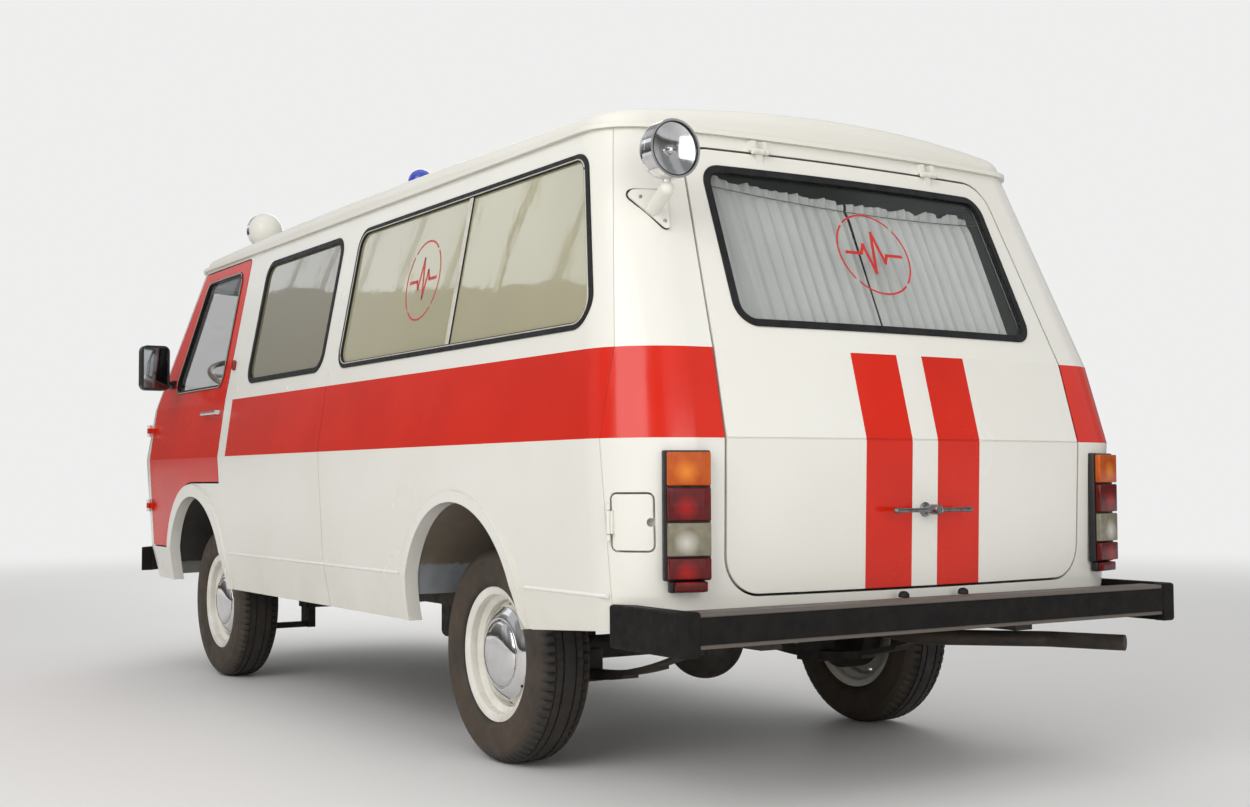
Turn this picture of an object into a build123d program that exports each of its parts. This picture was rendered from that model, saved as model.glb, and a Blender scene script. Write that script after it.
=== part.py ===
from build123d import *
import os
from math import atan2, cos, pi, radians, sin, sqrt

# Ambulance van, one box, seats over the front axle. Millimetres, X forward, Y left, Z up.
# The origin is on the ground, on the centre line, under the middle of the bumpers.

# Main sizes
overall_length = 4980
wheelbase = 2620
rear_overhang = 1190
rear_axle_x = rear_overhang - overall_length / 2
front_axle_x = rear_axle_x + wheelbase
rear_end_x = -overall_length / 2
front_end_x = overall_length / 2
rear_track = 1450
front_track = 1480

# Heights of the body's edges
sill_z = 415
tail_front_z = 447
tail_rear_z = 500
tail_corner = 45
crease_z = 570
belt_z = 980
shoulder_z = 1222
gutter_z = 1860
roof_edge_z = 1918
roof_crown_z = 1985
roof_shoulder = 42
roof_bow_radius = 76000
roof_middle_x = -70
gutter_proud = 14
gutter_height = 14

# Walls and seams
wall = 35
door_skin = 12
door_step = 12
seam_gap = 7
panel_gap = 0.8
seat_gap = 0.3
rubber_width = 21
door_rubber_width = 13
rubber_proud = 4
rubber_depth = 16
glass_depth = 5
glass_thickness = 5

# Plan outlines of the body, from the sill up
# columns: height, half width, rear end, rear corner radius, front end, front corner radius
body_levels = [
    (sill_z, 900, -2350, 205, 2330, 300),
    (crease_z, 930, -2360, 220, 2392, 330),
    (belt_z, 955, -2374, 230, 2420, 340),
    (shoulder_z, 922, -2310, 215, 2372, 330),
    (gutter_z, 800, -2030, 150, 1890, 260),
]
rear_bow_radius = 6000
front_bow_radius = 2400

# Wheels
tyre_radius = 335
tyre_width = 185
bead_radius = 190
rim_flange_radius = 208
rim_width = 146
cap_radius = 143
cap_dome_radius = 104
stub_radius = 20
spin_gap = 0.3
kingpin_y = 650
kingpin_radius = 14
steer_limit = 30

# Wheel arches
arch_radius = 385
arch_centre_z = 422
front_flare_width = 55
rear_flare_width = 35
flare_proud = 12
house_wall = 10
front_house_inner_y = 440
rear_house_inner_y = 590

# Front doors, side view
door_rear_x = 950
door_front_x = 1985
door_foot_z = 568
door_top_z = 1845
pillar_foot_z = 1238
pillar_top_x = 1585
door_window = [(1028, 1284), (1738, 1284), (1512, 1800), (1028, 1800)]
door_hinge_y = 958
door_hinge_heights = (760, 1120)

# Passenger door, right side
side_door_rear_x = -190
side_door_front_x = 770
side_door_low_z = 470
side_door_window = [(-112, 1284), (690, 1284), (690, 1796), (-112, 1796)]
side_door_hinge_heights = (700, 1150)

# Side windows, side view
front_window = [(-134, 1280), (710, 1280), (710, 1798), (-134, 1798)]
long_window = [(-2075, 1280), (-280, 1280), (-280, 1798), (-1890, 1798)]
long_window_post_x = -1180
window_post_width = 26
window_corner = 75

# Seam between side panel and rear corner: height, distance forward
corner_seam = [(sill_z - 40, -2172), (crease_z, -2170), (shoulder_z, -2155), (gutter_z + 40, -1930)]
middle_seam_x = -207
middle_seam_width = 5

# Hatch, rear view
hatch_low_z = 568
hatch_top_z = 1815
hatch_outline = [
    (-664, hatch_low_z), (664, hatch_low_z), (668, belt_z), (660, shoulder_z),
    (588, hatch_top_z), (-588, hatch_top_z), (-660, shoulder_z), (-668, belt_z),
]
hatch_corners = [105, 105, 400, 400, 95, 95, 400, 400]
hatch_window = [(-566, 1286), (566, 1286), (542, 1764), (-542, 1764)]
hatch_window_corner = 65
hatch_groove = 4
hatch_hinge_x = -2056
hatch_hinge_z = 1819
hatch_hinge_y = (-330, 330)

# Windscreen, front view
windscreen = [(-846, 1268), (846, 1268), (752, 1812), (-752, 1812)]
windscreen_corner = 95

# Grille and front lamps
grille_low_z = 690
grille_top_z = 905
grille_half_width = 770
grille_slots = 6
grille_slot_height = 17
headlamp_x = 2348
headlamp_y = 610
headlamp_z = 797
headlamp_radius = 88
rim_proud = 3.5
rim_band = 6

# Bumpers
bumper_low_z = 436
bumper_top_z = 550
bumper_half_width = 920
bumper_corner = 22
bumper_cap_reach = 325
bumper_cap_wall = 40
bumper_cap_inner = 862
bumper_cap_round = 9
bumper_bar_low_z = 456
bumper_bar_top_z = 545
bumper_bar_depth = 88
bumper_bar_back = 9
bumper_bar_metal = 4
bumper_pad_edge = 11
bumper_pad_back = 3
bumper_stay_z = (456, 484)
bumper_stay_half_width = 28
front_bumper_half = 962
front_bumper_corner = 340
front_bumper_wall = 26
front_bumper_depth = 60
front_bumper_reach = 2200

# Rear lamps
lamp_y = 782
lamp_low_z = 583
lamp_top_z = 947
lamp_width = 130
lamp_turn = 15
lamp_proud = 30
# columns: colour, lowest height, highest height
rear_lenses = [
    ("red", 588, 610),
    ("red", 617, 665),
    ("clear", 677, 758),
    ("red", 767, 849),
    ("amber", 858, 940),
]
lens_width = 112
lens_proud = 5

# Spotlights and beacon: where the lamp's face is, and the way it looks
# columns: x, y, z of the face, direction along X
spotlights = [(-2235, 750, 1750, -1), (1440, 585, 2050, 1)]
spotlight_radius = 76
spotlight_depth = 82
# columns: y, z, radius of the bracket plate's corners
spot_plate = [(764, 1650, 18), (700, 1650, 18), (708, 1566, 12)]
spot_plate_thickness = 9
beacon_x = 350
beacon_y = 280
beacon_radius = 58
beacon_height = 165
beacon_base_height = 45

# Fuel flap on the left rear corner
flap_low_z = 690
flap_high_z = 835
flap_from = 23
flap_to = 52
flap_thickness = 10
flap_gap = 5
flap_pin_out = 8.5
flap_notch = 11

# Engine and gearbox, plain
engine_half_width = 210
gearbox_rear_x = 990
gearbox_z = 400

# Floor and frame
floor_z = 500
floor_thickness = 30
floor_inset = wall + 6
deck_thickness = 6
deck = (-2020, 800, 545)
rail_y = 480
rail_width = 70
rail_height = 86
rail_rear_x = -2280
rail_front_x = 2150
jack_points = [(780, 480), (-480, 480)]
jack_pad = 60
jack_pad_thickness = 6
tow_eye = (2180, 480, 378)
tow_eye_radius = 14


def body_at(z):
    # the table's row for any height, in a straight line between the rows
    rows = body_levels
    below = rows[0]
    above = rows[1]
    for low, high in zip(rows, rows[1:]):
        below = low
        above = high
        if z <= high[0]:
            break
    share = (z - below[0]) / (above[0] - below[0])
    return [a + (b - a) * share for a, b in zip(below[1:], above[1:])]


def corner_points(end, way, bow, half, radius):
    # a corner arc that meets the straight side and the bowed end without a kink
    reach = sqrt((bow - radius) ** 2 - (half - radius) ** 2)
    bow_x = end - way * bow
    centre_x = bow_x + way * reach
    meet_x = bow_x + (centre_x - bow_x) * bow / (bow - radius)
    meet_y = (half - radius) * bow / (bow - radius)
    turn = (atan2(meet_y - (half - radius), (meet_x - centre_x) * way) + pi / 2) / 2
    middle = (centre_x + way * radius * cos(turn), half - radius + radius * sin(turn))
    return centre_x, middle, (meet_x, meet_y)


def plan_face(z, inset):
    # the body's outline at one height, drawn in by inset
    half, rear, rear_r, front, front_r = body_at(z)
    half -= inset
    back_x, back_mid, back_meet = corner_points(
        rear + inset, -1, rear_bow_radius - inset, half, rear_r - inset)
    nose_x, nose_mid, nose_meet = corner_points(
        front - inset, 1, front_bow_radius - inset, half, front_r - inset)

    def at(x, y):
        return (x, y, z)

    edges = [
        Line(at(back_x, half), at(nose_x, half)),
        ThreePointArc(at(nose_x, half), at(*nose_mid), at(*nose_meet)),
        ThreePointArc(at(*nose_meet), at(front - inset, 0), at(nose_meet[0], -nose_meet[1])),
        ThreePointArc(at(nose_meet[0], -nose_meet[1]), at(nose_mid[0], -nose_mid[1]), at(nose_x, -half)),
        Line(at(nose_x, -half), at(back_x, -half)),
        ThreePointArc(at(back_x, -half), at(back_mid[0], -back_mid[1]), at(back_meet[0], -back_meet[1])),
        ThreePointArc(at(back_meet[0], -back_meet[1]), at(rear + inset, 0), at(*back_meet)),
        ThreePointArc(at(*back_meet), at(*back_mid), at(back_x, half)),
    ]
    return make_face(edges)


body_blocks = {}


def body_block(inset, stretch=0):
    # the whole body as a block, its skin drawn in by inset
    if (inset, stretch) not in body_blocks:
        heights = [row[0] for row in body_levels]
        heights[0] -= stretch
        heights[-1] += stretch
        sections = [plan_face(z, inset) for z in heights]
        body_blocks[inset, stretch] = loft(sections, ruled=True)
    return body_blocks[inset, stretch]


def skin_y(z):
    return body_at(z)[0]


def side_face(points, radius=0):
    # an outline in side view, on the plane Y = 0
    path = [(x, 0, z) for x, z in points]
    if radius:
        return make_face(FilletPolyline(*path, radius=radius, close=True))
    return make_face(Polyline(*path, close=True))


def rear_face(points, radius=0):
    # an outline in rear or front view, on the plane X = 0
    path = [(0, y, z) for y, z in points]
    if radius:
        return make_face(FilletPolyline(*path, radius=radius, close=True))
    return make_face(Polyline(*path, close=True))


def grow(face, amount):
    return offset(face, amount, kind=Kind.ARC) if amount > 0 else offset(face, amount, kind=Kind.INTERSECTION)


def through_side(face, side=1):
    # the outline carried out through one side of the body
    return extrude(face, amount=1400, dir=(0, side, 0))


def through_end(face, end=1):
    return extrude(face, amount=2700, dir=(end, 0, 0))


def slab(x0, x1, y0, y1, z0, z1):
    return Pos((x0 + x1) / 2, (y0 + y1) / 2, (z0 + z1) / 2) * Box(x1 - x0, y1 - y0, z1 - z0)


def rod(start, end, radius):
    a = Vector(*start)
    b = Vector(*end)
    return Plane(a, z_dir=b - a) * Cylinder(radius, (b - a).length, align=(Align.CENTER, Align.CENTER, Align.MIN))


def cap_arc(radius, low, rise):
    # half of a round cap, from its edge up to its top on the axis
    ball = (radius ** 2 + rise ** 2) / (2 * rise)
    half_turn = atan2(radius, ball - rise) / 2
    middle = (ball * sin(half_turn), low + rise - ball + ball * cos(half_turn))
    return ThreePointArc((radius, low), middle, (0, low + rise))


def mirrored(shape):
    return mirror(shape, about=Plane.XZ)


def save(name, *shapes):
    solids = [s for shape in shapes for s in shape.solids()]
    export_step(Compound(solids) if len(solids) > 1 else solids[0], f"parts/{name}.step")


def shell_piece(prism, outer, inner):
    # the part of the body's wall inside a prism, between two depths under the skin
    return (body_block(outer, 30) & prism) - body_block(inner, 60)


def stepped_panel(face, carry):
    # a door: a full size skin over an inner part that is a step smaller all round
    skin = shell_piece(carry(grow(face, -seam_gap / 2)), 0, door_skin)
    inner = shell_piece(carry(grow(face, -seam_gap / 2 - door_step)), door_skin / 2, wall)
    return skin + inner


def window_rubber(face, carry, width=rubber_width):
    ring = carry(grow(face, -seat_gap)) - carry(grow(face, -width))
    return shell_piece(ring, -rubber_proud, rubber_depth)


def window_glass(face, carry, width=rubber_width):
    pane = carry(grow(face, -width - seat_gap))
    return shell_piece(pane, glass_depth, glass_depth + glass_thickness)


# Hinges: a pin held by two knuckles of the body, with the door's knuckle between them
hinge_pin = 5
hinge_knuckle = 9
hinge_pocket = 14
hinge_end = 15
hinge_middle = 24


def hinge(at, way, fixed_leaf, moving_leaf):
    # at: the middle of the pin, way: the pin's direction, leaves: slabs that reach the two panels
    origin = Vector(*at)
    along = Vector(*way)
    half = hinge_middle / 2 + 1
    tip = half + hinge_end
    pin = rod(origin - along * tip, origin + along * tip, hinge_pin)
    ends = [rod(origin + along * s * half, origin + along * s * tip, hinge_knuckle) for s in (-1, 1)]
    middle = rod(origin - along * (half - 1), origin + along * (half - 1), hinge_knuckle)
    bore = rod(origin - along * half, origin + along * half, hinge_pin + spin_gap)
    band = rod(origin - along * (half - 1), origin + along * (half - 1), 200)
    free = rod(origin - along * half, origin + along * half, 200)
    near = rod(origin - along * tip, origin + along * tip, 200)
    fixed = pin + ends[0] + ends[1] + ((fixed_leaf & near) - free)
    moving = (middle + (moving_leaf & band)) - bore
    pocket = rod(origin - along * (tip + 5), origin + along * (tip + 5), hinge_pocket)
    return fixed, moving, pocket


# Outlines that panels share
far = 3000
corner_line = [(x, z) for z, x in corner_seam]
corner_area = side_face([(-far, sill_z - 40)] + corner_line + [(-far, gutter_z + 40)])
nose_area = side_face([
    (door_front_x, sill_z - 40), (door_front_x, pillar_foot_z), (pillar_top_x, door_top_z),
    (pillar_top_x, gutter_z + 40), (far, gutter_z + 40), (far, sill_z - 40),
])
door_area = side_face([
    (door_rear_x, door_foot_z), (door_front_x, door_foot_z), (door_front_x, pillar_foot_z),
    (pillar_top_x, door_top_z), (door_rear_x, door_top_z),
], 28)
flare_edge = arch_radius + front_flare_width + seam_gap
door_low_z = arch_centre_z + flare_edge


def wheel_centre(x):
    return Pos(x, 0, arch_centre_z) * Rot(90, 0, 0)


def arch_disc(x, radius):
    # a disc in side view round the middle of a wheel arch
    return wheel_centre(x) * Circle(radius)


def arch_hole(x, radius):
    # a wheel arch: round above, straight down to the sill
    low = side_face([(x - radius, 0), (x + radius, 0), (x + radius, arch_centre_z), (x - radius, arch_centre_z)])
    return through_side(low) + through_side(arch_disc(x, radius))


door_face = door_area - side_face([
    (door_rear_x - 50, 0), (front_axle_x, 0), (front_axle_x, door_low_z), (door_rear_x - 50, door_low_z),
]) - arch_disc(front_axle_x, flare_edge)
side_door_face = side_face([
    (side_door_rear_x, side_door_low_z), (side_door_front_x, side_door_low_z),
    (side_door_front_x, door_top_z), (side_door_rear_x, door_top_z),
], 40)
door_window_face = side_face(door_window, 55)
side_door_window_face = side_face(side_door_window, window_corner)
front_window_face = side_face(front_window, window_corner)
long_window_face = side_face(long_window, window_corner)
hatch_face = make_face(FilletPolyline(*[(0, y, z) for y, z in hatch_outline], radius=hatch_corners, close=True))
hatch_window_face = rear_face(hatch_window, hatch_window_corner)
windscreen_face = rear_face(windscreen, windscreen_corner)


def to_rear(face):
    return through_end(face, -1)


# Hinges: fixed side, moving side and the pocket that both panels have round it
def front_door_hinges():
    parts = []
    for z in door_hinge_heights:
        fixed_leaf = slab(door_front_x, door_front_x + 45, door_hinge_y - 36, door_hinge_y - 6, z - 60, z + 60)
        moving_leaf = slab(door_front_x - 45, door_front_x, door_hinge_y - 36, door_hinge_y - 6, z - 60, z + 60)
        parts.append(hinge((door_front_x, door_hinge_y, z), (0, 0, 1), fixed_leaf, moving_leaf))
    return parts


def side_door_hinges():
    x = side_door_front_x
    parts = []
    for z in side_door_hinge_heights:
        fixed_leaf = slab(x, x + 45, door_hinge_y - 42, door_hinge_y - 6, z - 60, z + 60)
        moving_leaf = slab(x - 45, x, door_hinge_y - 42, door_hinge_y - 6, z - 60, z + 60)
        parts.append([mirrored(part) for part in hinge((x, door_hinge_y, z), (0, 0, 1), fixed_leaf, moving_leaf)])
    return parts


def hatch_hinges():
    parts = []
    for y in hatch_hinge_y:
        x = hatch_hinge_x
        z = hatch_hinge_z
        fixed_leaf = slab(x + 4, x + 34, y - 60, y + 60, z + 3, z + 32)
        moving_leaf = slab(x + 2, x + 30, y - 60, y + 60, z - 40, z - 3)
        parts.append(hinge((x, y, z), (0, 1, 0), fixed_leaf, moving_leaf))
    return parts


def with_hinges(panel, hinges, which):
    # clear the pockets, then add this side's knuckles
    for part in hinges:
        panel -= part[2]
    for part in hinges:
        panel += part[which]
    return panel


door_hinges = front_door_hinges()
side_hinges = side_door_hinges()
lid_hinges = hatch_hinges()


# Body
def flare(x, width):
    # the raised lip round a wheel arch
    ring = arch_hole(x, arch_radius + width) - arch_hole(x, arch_radius)
    ring &= slab(x - 600, x + 600, 0, 1400, sill_z, 1200)
    return shell_piece(ring, -flare_proud, wall / 2)


def under_tail():
    # the room under the rear overhang, whose edge climbs from the arch to the bumper
    x = rear_axle_x - arch_radius
    edge = side_face([
        (rear_axle_x, 0), (rear_axle_x, tail_front_z), (x, tail_front_z), (rear_end_x, tail_rear_z), (rear_end_x, 0),
    ])
    square = side_face([
        (x, tail_front_z - 9), (x, tail_front_z + tail_corner), (x - tail_corner, tail_front_z + tail_corner),
        (x - tail_corner, tail_front_z - 9),
    ])
    rounding = square - Pos(x - tail_corner, 0, tail_front_z + tail_corner + 3) * Rot(90, 0, 0) * Circle(tail_corner)
    return through_side(edge) + through_side(rounding)


def side_wall(openings):
    # one side from the rear corner seam to the front pillar, seen as the left one
    area = side_face([(-2400, sill_z), (2400, sill_z), (2400, gutter_z), (-2400, gutter_z)])
    for opening in [grow(corner_area, panel_gap), grow(nose_area, panel_gap)] + openings:
        area -= opening
    panel = shell_piece(through_side(area), 0, wall)
    panel += flare(rear_axle_x, rear_flare_width)
    panel += flare(front_axle_x, front_flare_width)
    panel -= arch_hole(rear_axle_x, arch_radius)
    panel -= arch_hole(front_axle_x, arch_radius)
    return panel - under_tail()


def body_side_left():
    panel = side_wall([grow(door_face, seam_gap / 2), long_window_face, front_window_face])
    groove = side_face([
        (middle_seam_x - middle_seam_width / 2, sill_z - 20), (middle_seam_x + middle_seam_width / 2, sill_z - 20),
        (middle_seam_x + middle_seam_width / 2, 1270), (middle_seam_x - middle_seam_width / 2, 1270),
    ])
    return panel - shell_piece(through_side(groove), -1, 3)


def body_side_right():
    panel = side_wall([
        grow(door_face, seam_gap / 2), long_window_face, grow(side_door_face, seam_gap / 2)])
    return with_hinges(mirrored(panel), side_hinges, 0)


def rear_frame():
    # both rear corners, the strip over the hatch and the valance under it
    area = grow(corner_area, -panel_gap / 2)
    frame = shell_piece(through_side(area) + through_side(area, -1), 0, wall)
    frame &= slab(-2600, -1800, -1200, 1200, sill_z, gutter_z)
    frame -= under_tail()
    frame -= mirrored(under_tail())
    frame -= to_rear(grow(hatch_face, seam_gap / 2))
    frame -= flap_prism(flap_gap, 25)
    return with_hinges(frame + flap_mount(), lid_hinges, 0)


def flap_place(angle, out):
    # a point on the rear left corner, given by its turn from the side and its distance from the skin
    z = (flap_low_z + flap_high_z) / 2
    half, rear, radius, _, _ = body_at(z)
    centre_x = corner_points(rear, -1, rear_bow_radius, half, radius)[0]
    turn = radians(angle)
    return (centre_x - (radius + out) * sin(turn), half - radius + (radius + out) * cos(turn), z)


def flap_prism(extra, depth):
    middle = (flap_from + flap_to) / 2
    turn = radians(middle)
    out = Vector(-sin(turn), cos(turn), 0)
    start = Vector(*flap_place(flap_from, 0))
    end = Vector(*flap_place(flap_to, 0))
    width = (end - start).length
    centre = Vector(*flap_place(middle, -depth))
    plane = Plane(centre, x_dir=(0, 0, 1), z_dir=out)
    face = plane * RectangleRounded(flap_high_z - flap_low_z + 2 * extra, width + 2 * extra, 14 + extra)
    return extrude(face, amount=depth + 60)


def flap_hinge():
    # on the flap's front edge: local Y points out of the body, the flap lies towards local -X
    turn = flap_from - 1.5
    return Pos(*flap_place(turn, flap_pin_out)) * Rot(0, 0, turn)


def fuel_flap():
    place = flap_hinge()
    flap = shell_piece(flap_prism(0, 25), 0, flap_thickness)
    strap = Pos(-6, -4, 0) * Box(12, 3, 60) + Pos(-10, -7.25, 0) * Box(4, 9.5, 60) + Cylinder(5, 60)
    turn = flap_to - 1.5
    notch = Pos(*flap_place(turn, 0)) * Rot(0, 0, turn) * Rot(90, 0, 0) * Cylinder(flap_notch, 60)
    return (flap + place * strap) - place * Cylinder(2.3, 200) - notch


def flap_mount():
    # the pin, its two lugs and the filler cap behind the flap
    place = flap_hinge()
    pin = Cylinder(2, 96)
    for s in (-1, 1):
        pin += Pos(0, 0, s * 40) * Cylinder(5, 16) + Pos(3.25, -7, s * 40) * Box(6.5, 11, 16)
    middle = (flap_from + flap_to) / 2
    start = Vector(*flap_place(middle, -26))
    return place * pin + rod(start, Vector(*flap_place(middle, -16)), 28)


def front_panel():
    area = grow(nose_area, -panel_gap / 2)
    nose = shell_piece(through_side(area) + through_side(area, -1), 0, wall)
    nose &= slab(1400, 2600, -1200, 1200, sill_z, gutter_z)
    nose -= through_end(windscreen_face)
    grille_hole = rear_face([
        (-grille_half_width, grille_low_z), (grille_half_width, grille_low_z),
        (grille_half_width, grille_top_z), (-grille_half_width, grille_top_z),
    ], 40)
    nose -= through_end(grille_hole)
    nose = with_hinges(nose, door_hinges, 0)
    return with_hinges(nose, [[mirrored(p) for p in part] for part in door_hinges], 0)


def crown(drop):
    # a block under the roof's skin, curved both ways and lowered by drop
    section = Plane.YZ * make_face([
        Line((-900, 1500), (900, 1500)),
        Line((900, 1500), (900, roof_edge_z)),
        ThreePointArc((900, roof_edge_z), (0, roof_crown_z), (-900, roof_edge_z)),
        Line((-900, roof_edge_z), (-900, 1500)),
    ])
    hub = Axis((0, 0, roof_crown_z - roof_bow_radius), (0, 1, 0))
    half_turn = 1.8
    block = revolve(section, hub, 2 * half_turn).rotate(hub, -half_turn)
    return Pos(roof_middle_x, 0, -drop) * block


def roof():
    top = extrude(plan_face(gutter_z, 6), amount=200) & crown(0)
    top = fillet(top.faces().sort_by(Axis.Z)[-1].edges(), roof_shoulder)
    hollow = extrude(plan_face(gutter_z - 1, wall), amount=180) & crown(wall)
    lip = extrude(plan_face(gutter_z, -gutter_proud), amount=gutter_height)
    lip -= extrude(plan_face(gutter_z - 1, 20), amount=20)
    return top - hollow + lip


# Doors and hatch
def front_door():
    panel = stepped_panel(door_face, through_side) - through_side(door_window_face)
    return with_hinges(panel, door_hinges, 1)


def side_door():
    def carry(face):
        return through_side(face, -1)
    panel = stepped_panel(side_door_face, carry) - carry(side_door_window_face)
    return with_hinges(panel, side_hinges, 1)


def hatch():
    panel = stepped_panel(hatch_face, to_rear) - to_rear(hatch_window_face)
    line = rear_face([
        (-700, belt_z - hatch_groove / 2), (700, belt_z - hatch_groove / 2),
        (700, belt_z + hatch_groove / 2), (-700, belt_z + hatch_groove / 2),
    ])
    panel -= shell_piece(to_rear(line), -5, hatch_groove / 2)
    return with_hinges(panel, lid_hinges, 1)


def split_long_glass():
    # the long side window is two panes that meet behind a post
    pane = window_glass(long_window_face, through_side)
    post = slab(
        long_window_post_x - window_post_width / 2 - seat_gap, long_window_post_x + window_post_width / 2 + seat_gap,
        0, 1400, 1200, 1900)
    return pane - post


def long_window_post():
    face = side_face([
        (long_window_post_x - window_post_width / 2, 1290), (long_window_post_x + window_post_width / 2, 1290),
        (long_window_post_x + window_post_width / 2, 1788), (long_window_post_x - window_post_width / 2, 1788),
    ])
    return shell_piece(through_side(face), 0, rubber_depth)


def long_window_rubber():
    return window_rubber(long_window_face, through_side) + long_window_post()


# Grille, bumpers and lamps
def grille():
    outer = rear_face([
        (-grille_half_width + 1, grille_low_z + 1), (grille_half_width - 1, grille_low_z + 1),
        (grille_half_width - 1, grille_top_z - 1), (-grille_half_width + 1, grille_top_z - 1),
    ], 39)
    panel = shell_piece(through_end(outer), 6, 30)
    pitch = (grille_top_z - grille_low_z - 40) / grille_slots
    spans = [(-480, -168), (-156, 156), (168, 480)]
    for row in range(grille_slots):
        low = grille_low_z + 20 + row * pitch + (pitch - grille_slot_height) / 2
        for y0, y1 in spans:
            panel -= slab(2000, 2600, y0, y1, low, low + grille_slot_height)
    for side in (-1, 1):
        panel -= Pos(2300, side * headlamp_y, headlamp_z) * Rot(0, 90, 0) * Cylinder(headlamp_radius + rim_proud + seat_gap, 700)
    return panel


def lamp_rim(x, y, z, radius, way):
    ring = Cylinder(radius + rim_proud, 26) - Cylinder(radius + rim_proud - rim_band, 26.5)
    back = Pos(0, 0, -15.5) * Cylinder(radius + rim_proud, 5)
    return Pos(x - way * 14, y, z) * Rot(0, 90 * way, 0) * (ring + back)


def lamp_glass(x, y, z, radius, way):
    # a shallow domed lens
    r = radius + rim_proud - rim_band - seat_gap
    profile = make_face([
        Line((0, 0), (r, 0)), Line((r, 0), (r, 6)),
        cap_arc(r, 6, 12), Line((0, 18), (0, 0)),
    ])
    lens = revolve(Plane.XZ * profile, Axis.Z)
    return Pos(x - way * 10, y, z) * Rot(0, 90 * way, 0) * lens


def front_bumper_face(side_inset, end_inset):
    # the front bumper's outline from above
    half = front_bumper_half - side_inset
    front_x, front_mid, front_meet = corner_points(
        front_end_x - end_inset, 1, front_bow_radius - end_inset, half, front_bumper_corner - side_inset)
    return make_face([
        Line((1400, half), (front_x, half)),
        ThreePointArc((front_x, half), front_mid, front_meet),
        ThreePointArc(front_meet, (front_end_x - end_inset, 0), (front_meet[0], -front_meet[1])),
        ThreePointArc((front_meet[0], -front_meet[1]), (front_mid[0], -front_mid[1]), (front_x, -half)),
        Line((front_x, -half), (1400, -half)),
        Line((1400, -half), (1400, half)),
    ])


def front_bumper():
    face = front_bumper_face(0, 0) - front_bumper_face(front_bumper_wall, front_bumper_depth)
    bar = Pos(0, 0, bumper_low_z) * extrude(face, amount=bumper_top_z - bumper_low_z)
    bar &= slab(front_bumper_reach, 2600, -1200, 1200, 0, 1000)
    for side in (-1, 1):
        stay = slab(2250, front_end_x - 50, side * rail_y - 30, side * rail_y + 30, bumper_low_z + 20, bumper_top_z - 22)
        bar += stay - body_block(-seat_gap, 60)
    return bar


def rear_bumper():
    # a channel with a rubber face between two moulded caps, on stays that end at the frame's rails
    x0 = rear_end_x
    outer = Pos((x0 - 1600) / 2, 0, bumper_low_z) * RectangleRounded(-1600 - x0, 2 * bumper_half_width, bumper_corner)
    x1 = x0 + bumper_cap_wall
    inner = Pos((x1 - 1500) / 2, 0, bumper_low_z) * RectangleRounded(
        -1500 - x1, 2 * (bumper_half_width - bumper_cap_wall), bumper_corner / 2)
    tall = bumper_top_z - bumper_low_z
    cap = extrude(outer, amount=tall) & slab(x0 - 10, x0 + bumper_cap_reach, bumper_cap_inner, 1200, 0, 1000)
    levels = cap.edges().group_by(Axis.Z)
    cap = fillet(levels[0] + levels[-1], bumper_cap_round) - extrude(inner, amount=tall)
    cap -= body_block(-seat_gap, 60)
    x2 = x0 + bumper_bar_back
    x3 = x0 + bumper_bar_depth
    half = bumper_cap_inner + 8
    bar = slab(x2, x3, -half, half, bumper_bar_low_z, bumper_bar_top_z)
    bar -= slab(
        x2 + bumper_bar_metal, x3 + 1, -half - 1, half + 1,
        bumper_bar_low_z + bumper_bar_metal, bumper_bar_top_z - bumper_bar_metal)
    bar += slab(
        x0 + bumper_pad_back, x2 + 1, -half, half,
        bumper_bar_low_z + bumper_pad_edge, bumper_bar_top_z - bumper_pad_edge)
    bumper = bar + cap + mirrored(cap)
    for side in (-1, 1):
        bumper += slab(
            x2 + 1, rail_rear_x - seat_gap, side * rail_y - bumper_stay_half_width,
            side * rail_y + bumper_stay_half_width, *bumper_stay_z)
    return bumper


def lamp_box(side, width, low, high, start, depth):
    turn = radians(lamp_turn)
    half, rear, radius, _, _ = body_at((lamp_low_z + lamp_top_z) / 2)
    centre_x = corner_points(rear, -1, rear_bow_radius, half, radius)[0]
    block = Box(depth, width, high - low)
    place = Pos(centre_x - radius * cos(turn), lamp_y, (low + high) / 2) * Rot(0, 0, -lamp_turn)
    box = place * Pos(-start - depth / 2, 0, 0) * block
    return box if side > 0 else mirrored(box)


def rear_lamp_housings():
    housings = []
    for side in (1, -1):
        box = lamp_box(side, lamp_width, lamp_low_z, lamp_top_z, -60, 60 + lamp_proud)
        housings.append(box - body_block(-seat_gap, 60))
    return housings


def rear_lamp_lenses(colour):
    return [
        lamp_box(side, lens_width, low, high, lamp_proud + 0.2, lens_proud)
        for side in (1, -1) for name, low, high in rear_lenses if name == colour
    ]


def indicator(side):
    face = rear_face([(side * 655, 612), (side * 812, 612), (side * 812, 664), (side * 655, 664)], 8)
    return (body_block(-14, 30) & through_end(face)) - body_block(-seat_gap, 60)


def spotlight(x, y, z, way):
    r = spotlight_radius
    profile = make_face([
        Line((0, 0), (r + rim_proud, 0)), Line((r + rim_proud, 0), (r + rim_proud, 14)),
        cap_arc(r + rim_proud, 14, spotlight_depth - 14), Line((0, spotlight_depth), (0, 0)),
    ])
    shell = revolve(Plane.XZ * profile, Axis.Z)
    return Pos(x - way * 32.3, y, z) * Rot(0, -90 * way, 0) * shell


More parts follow.
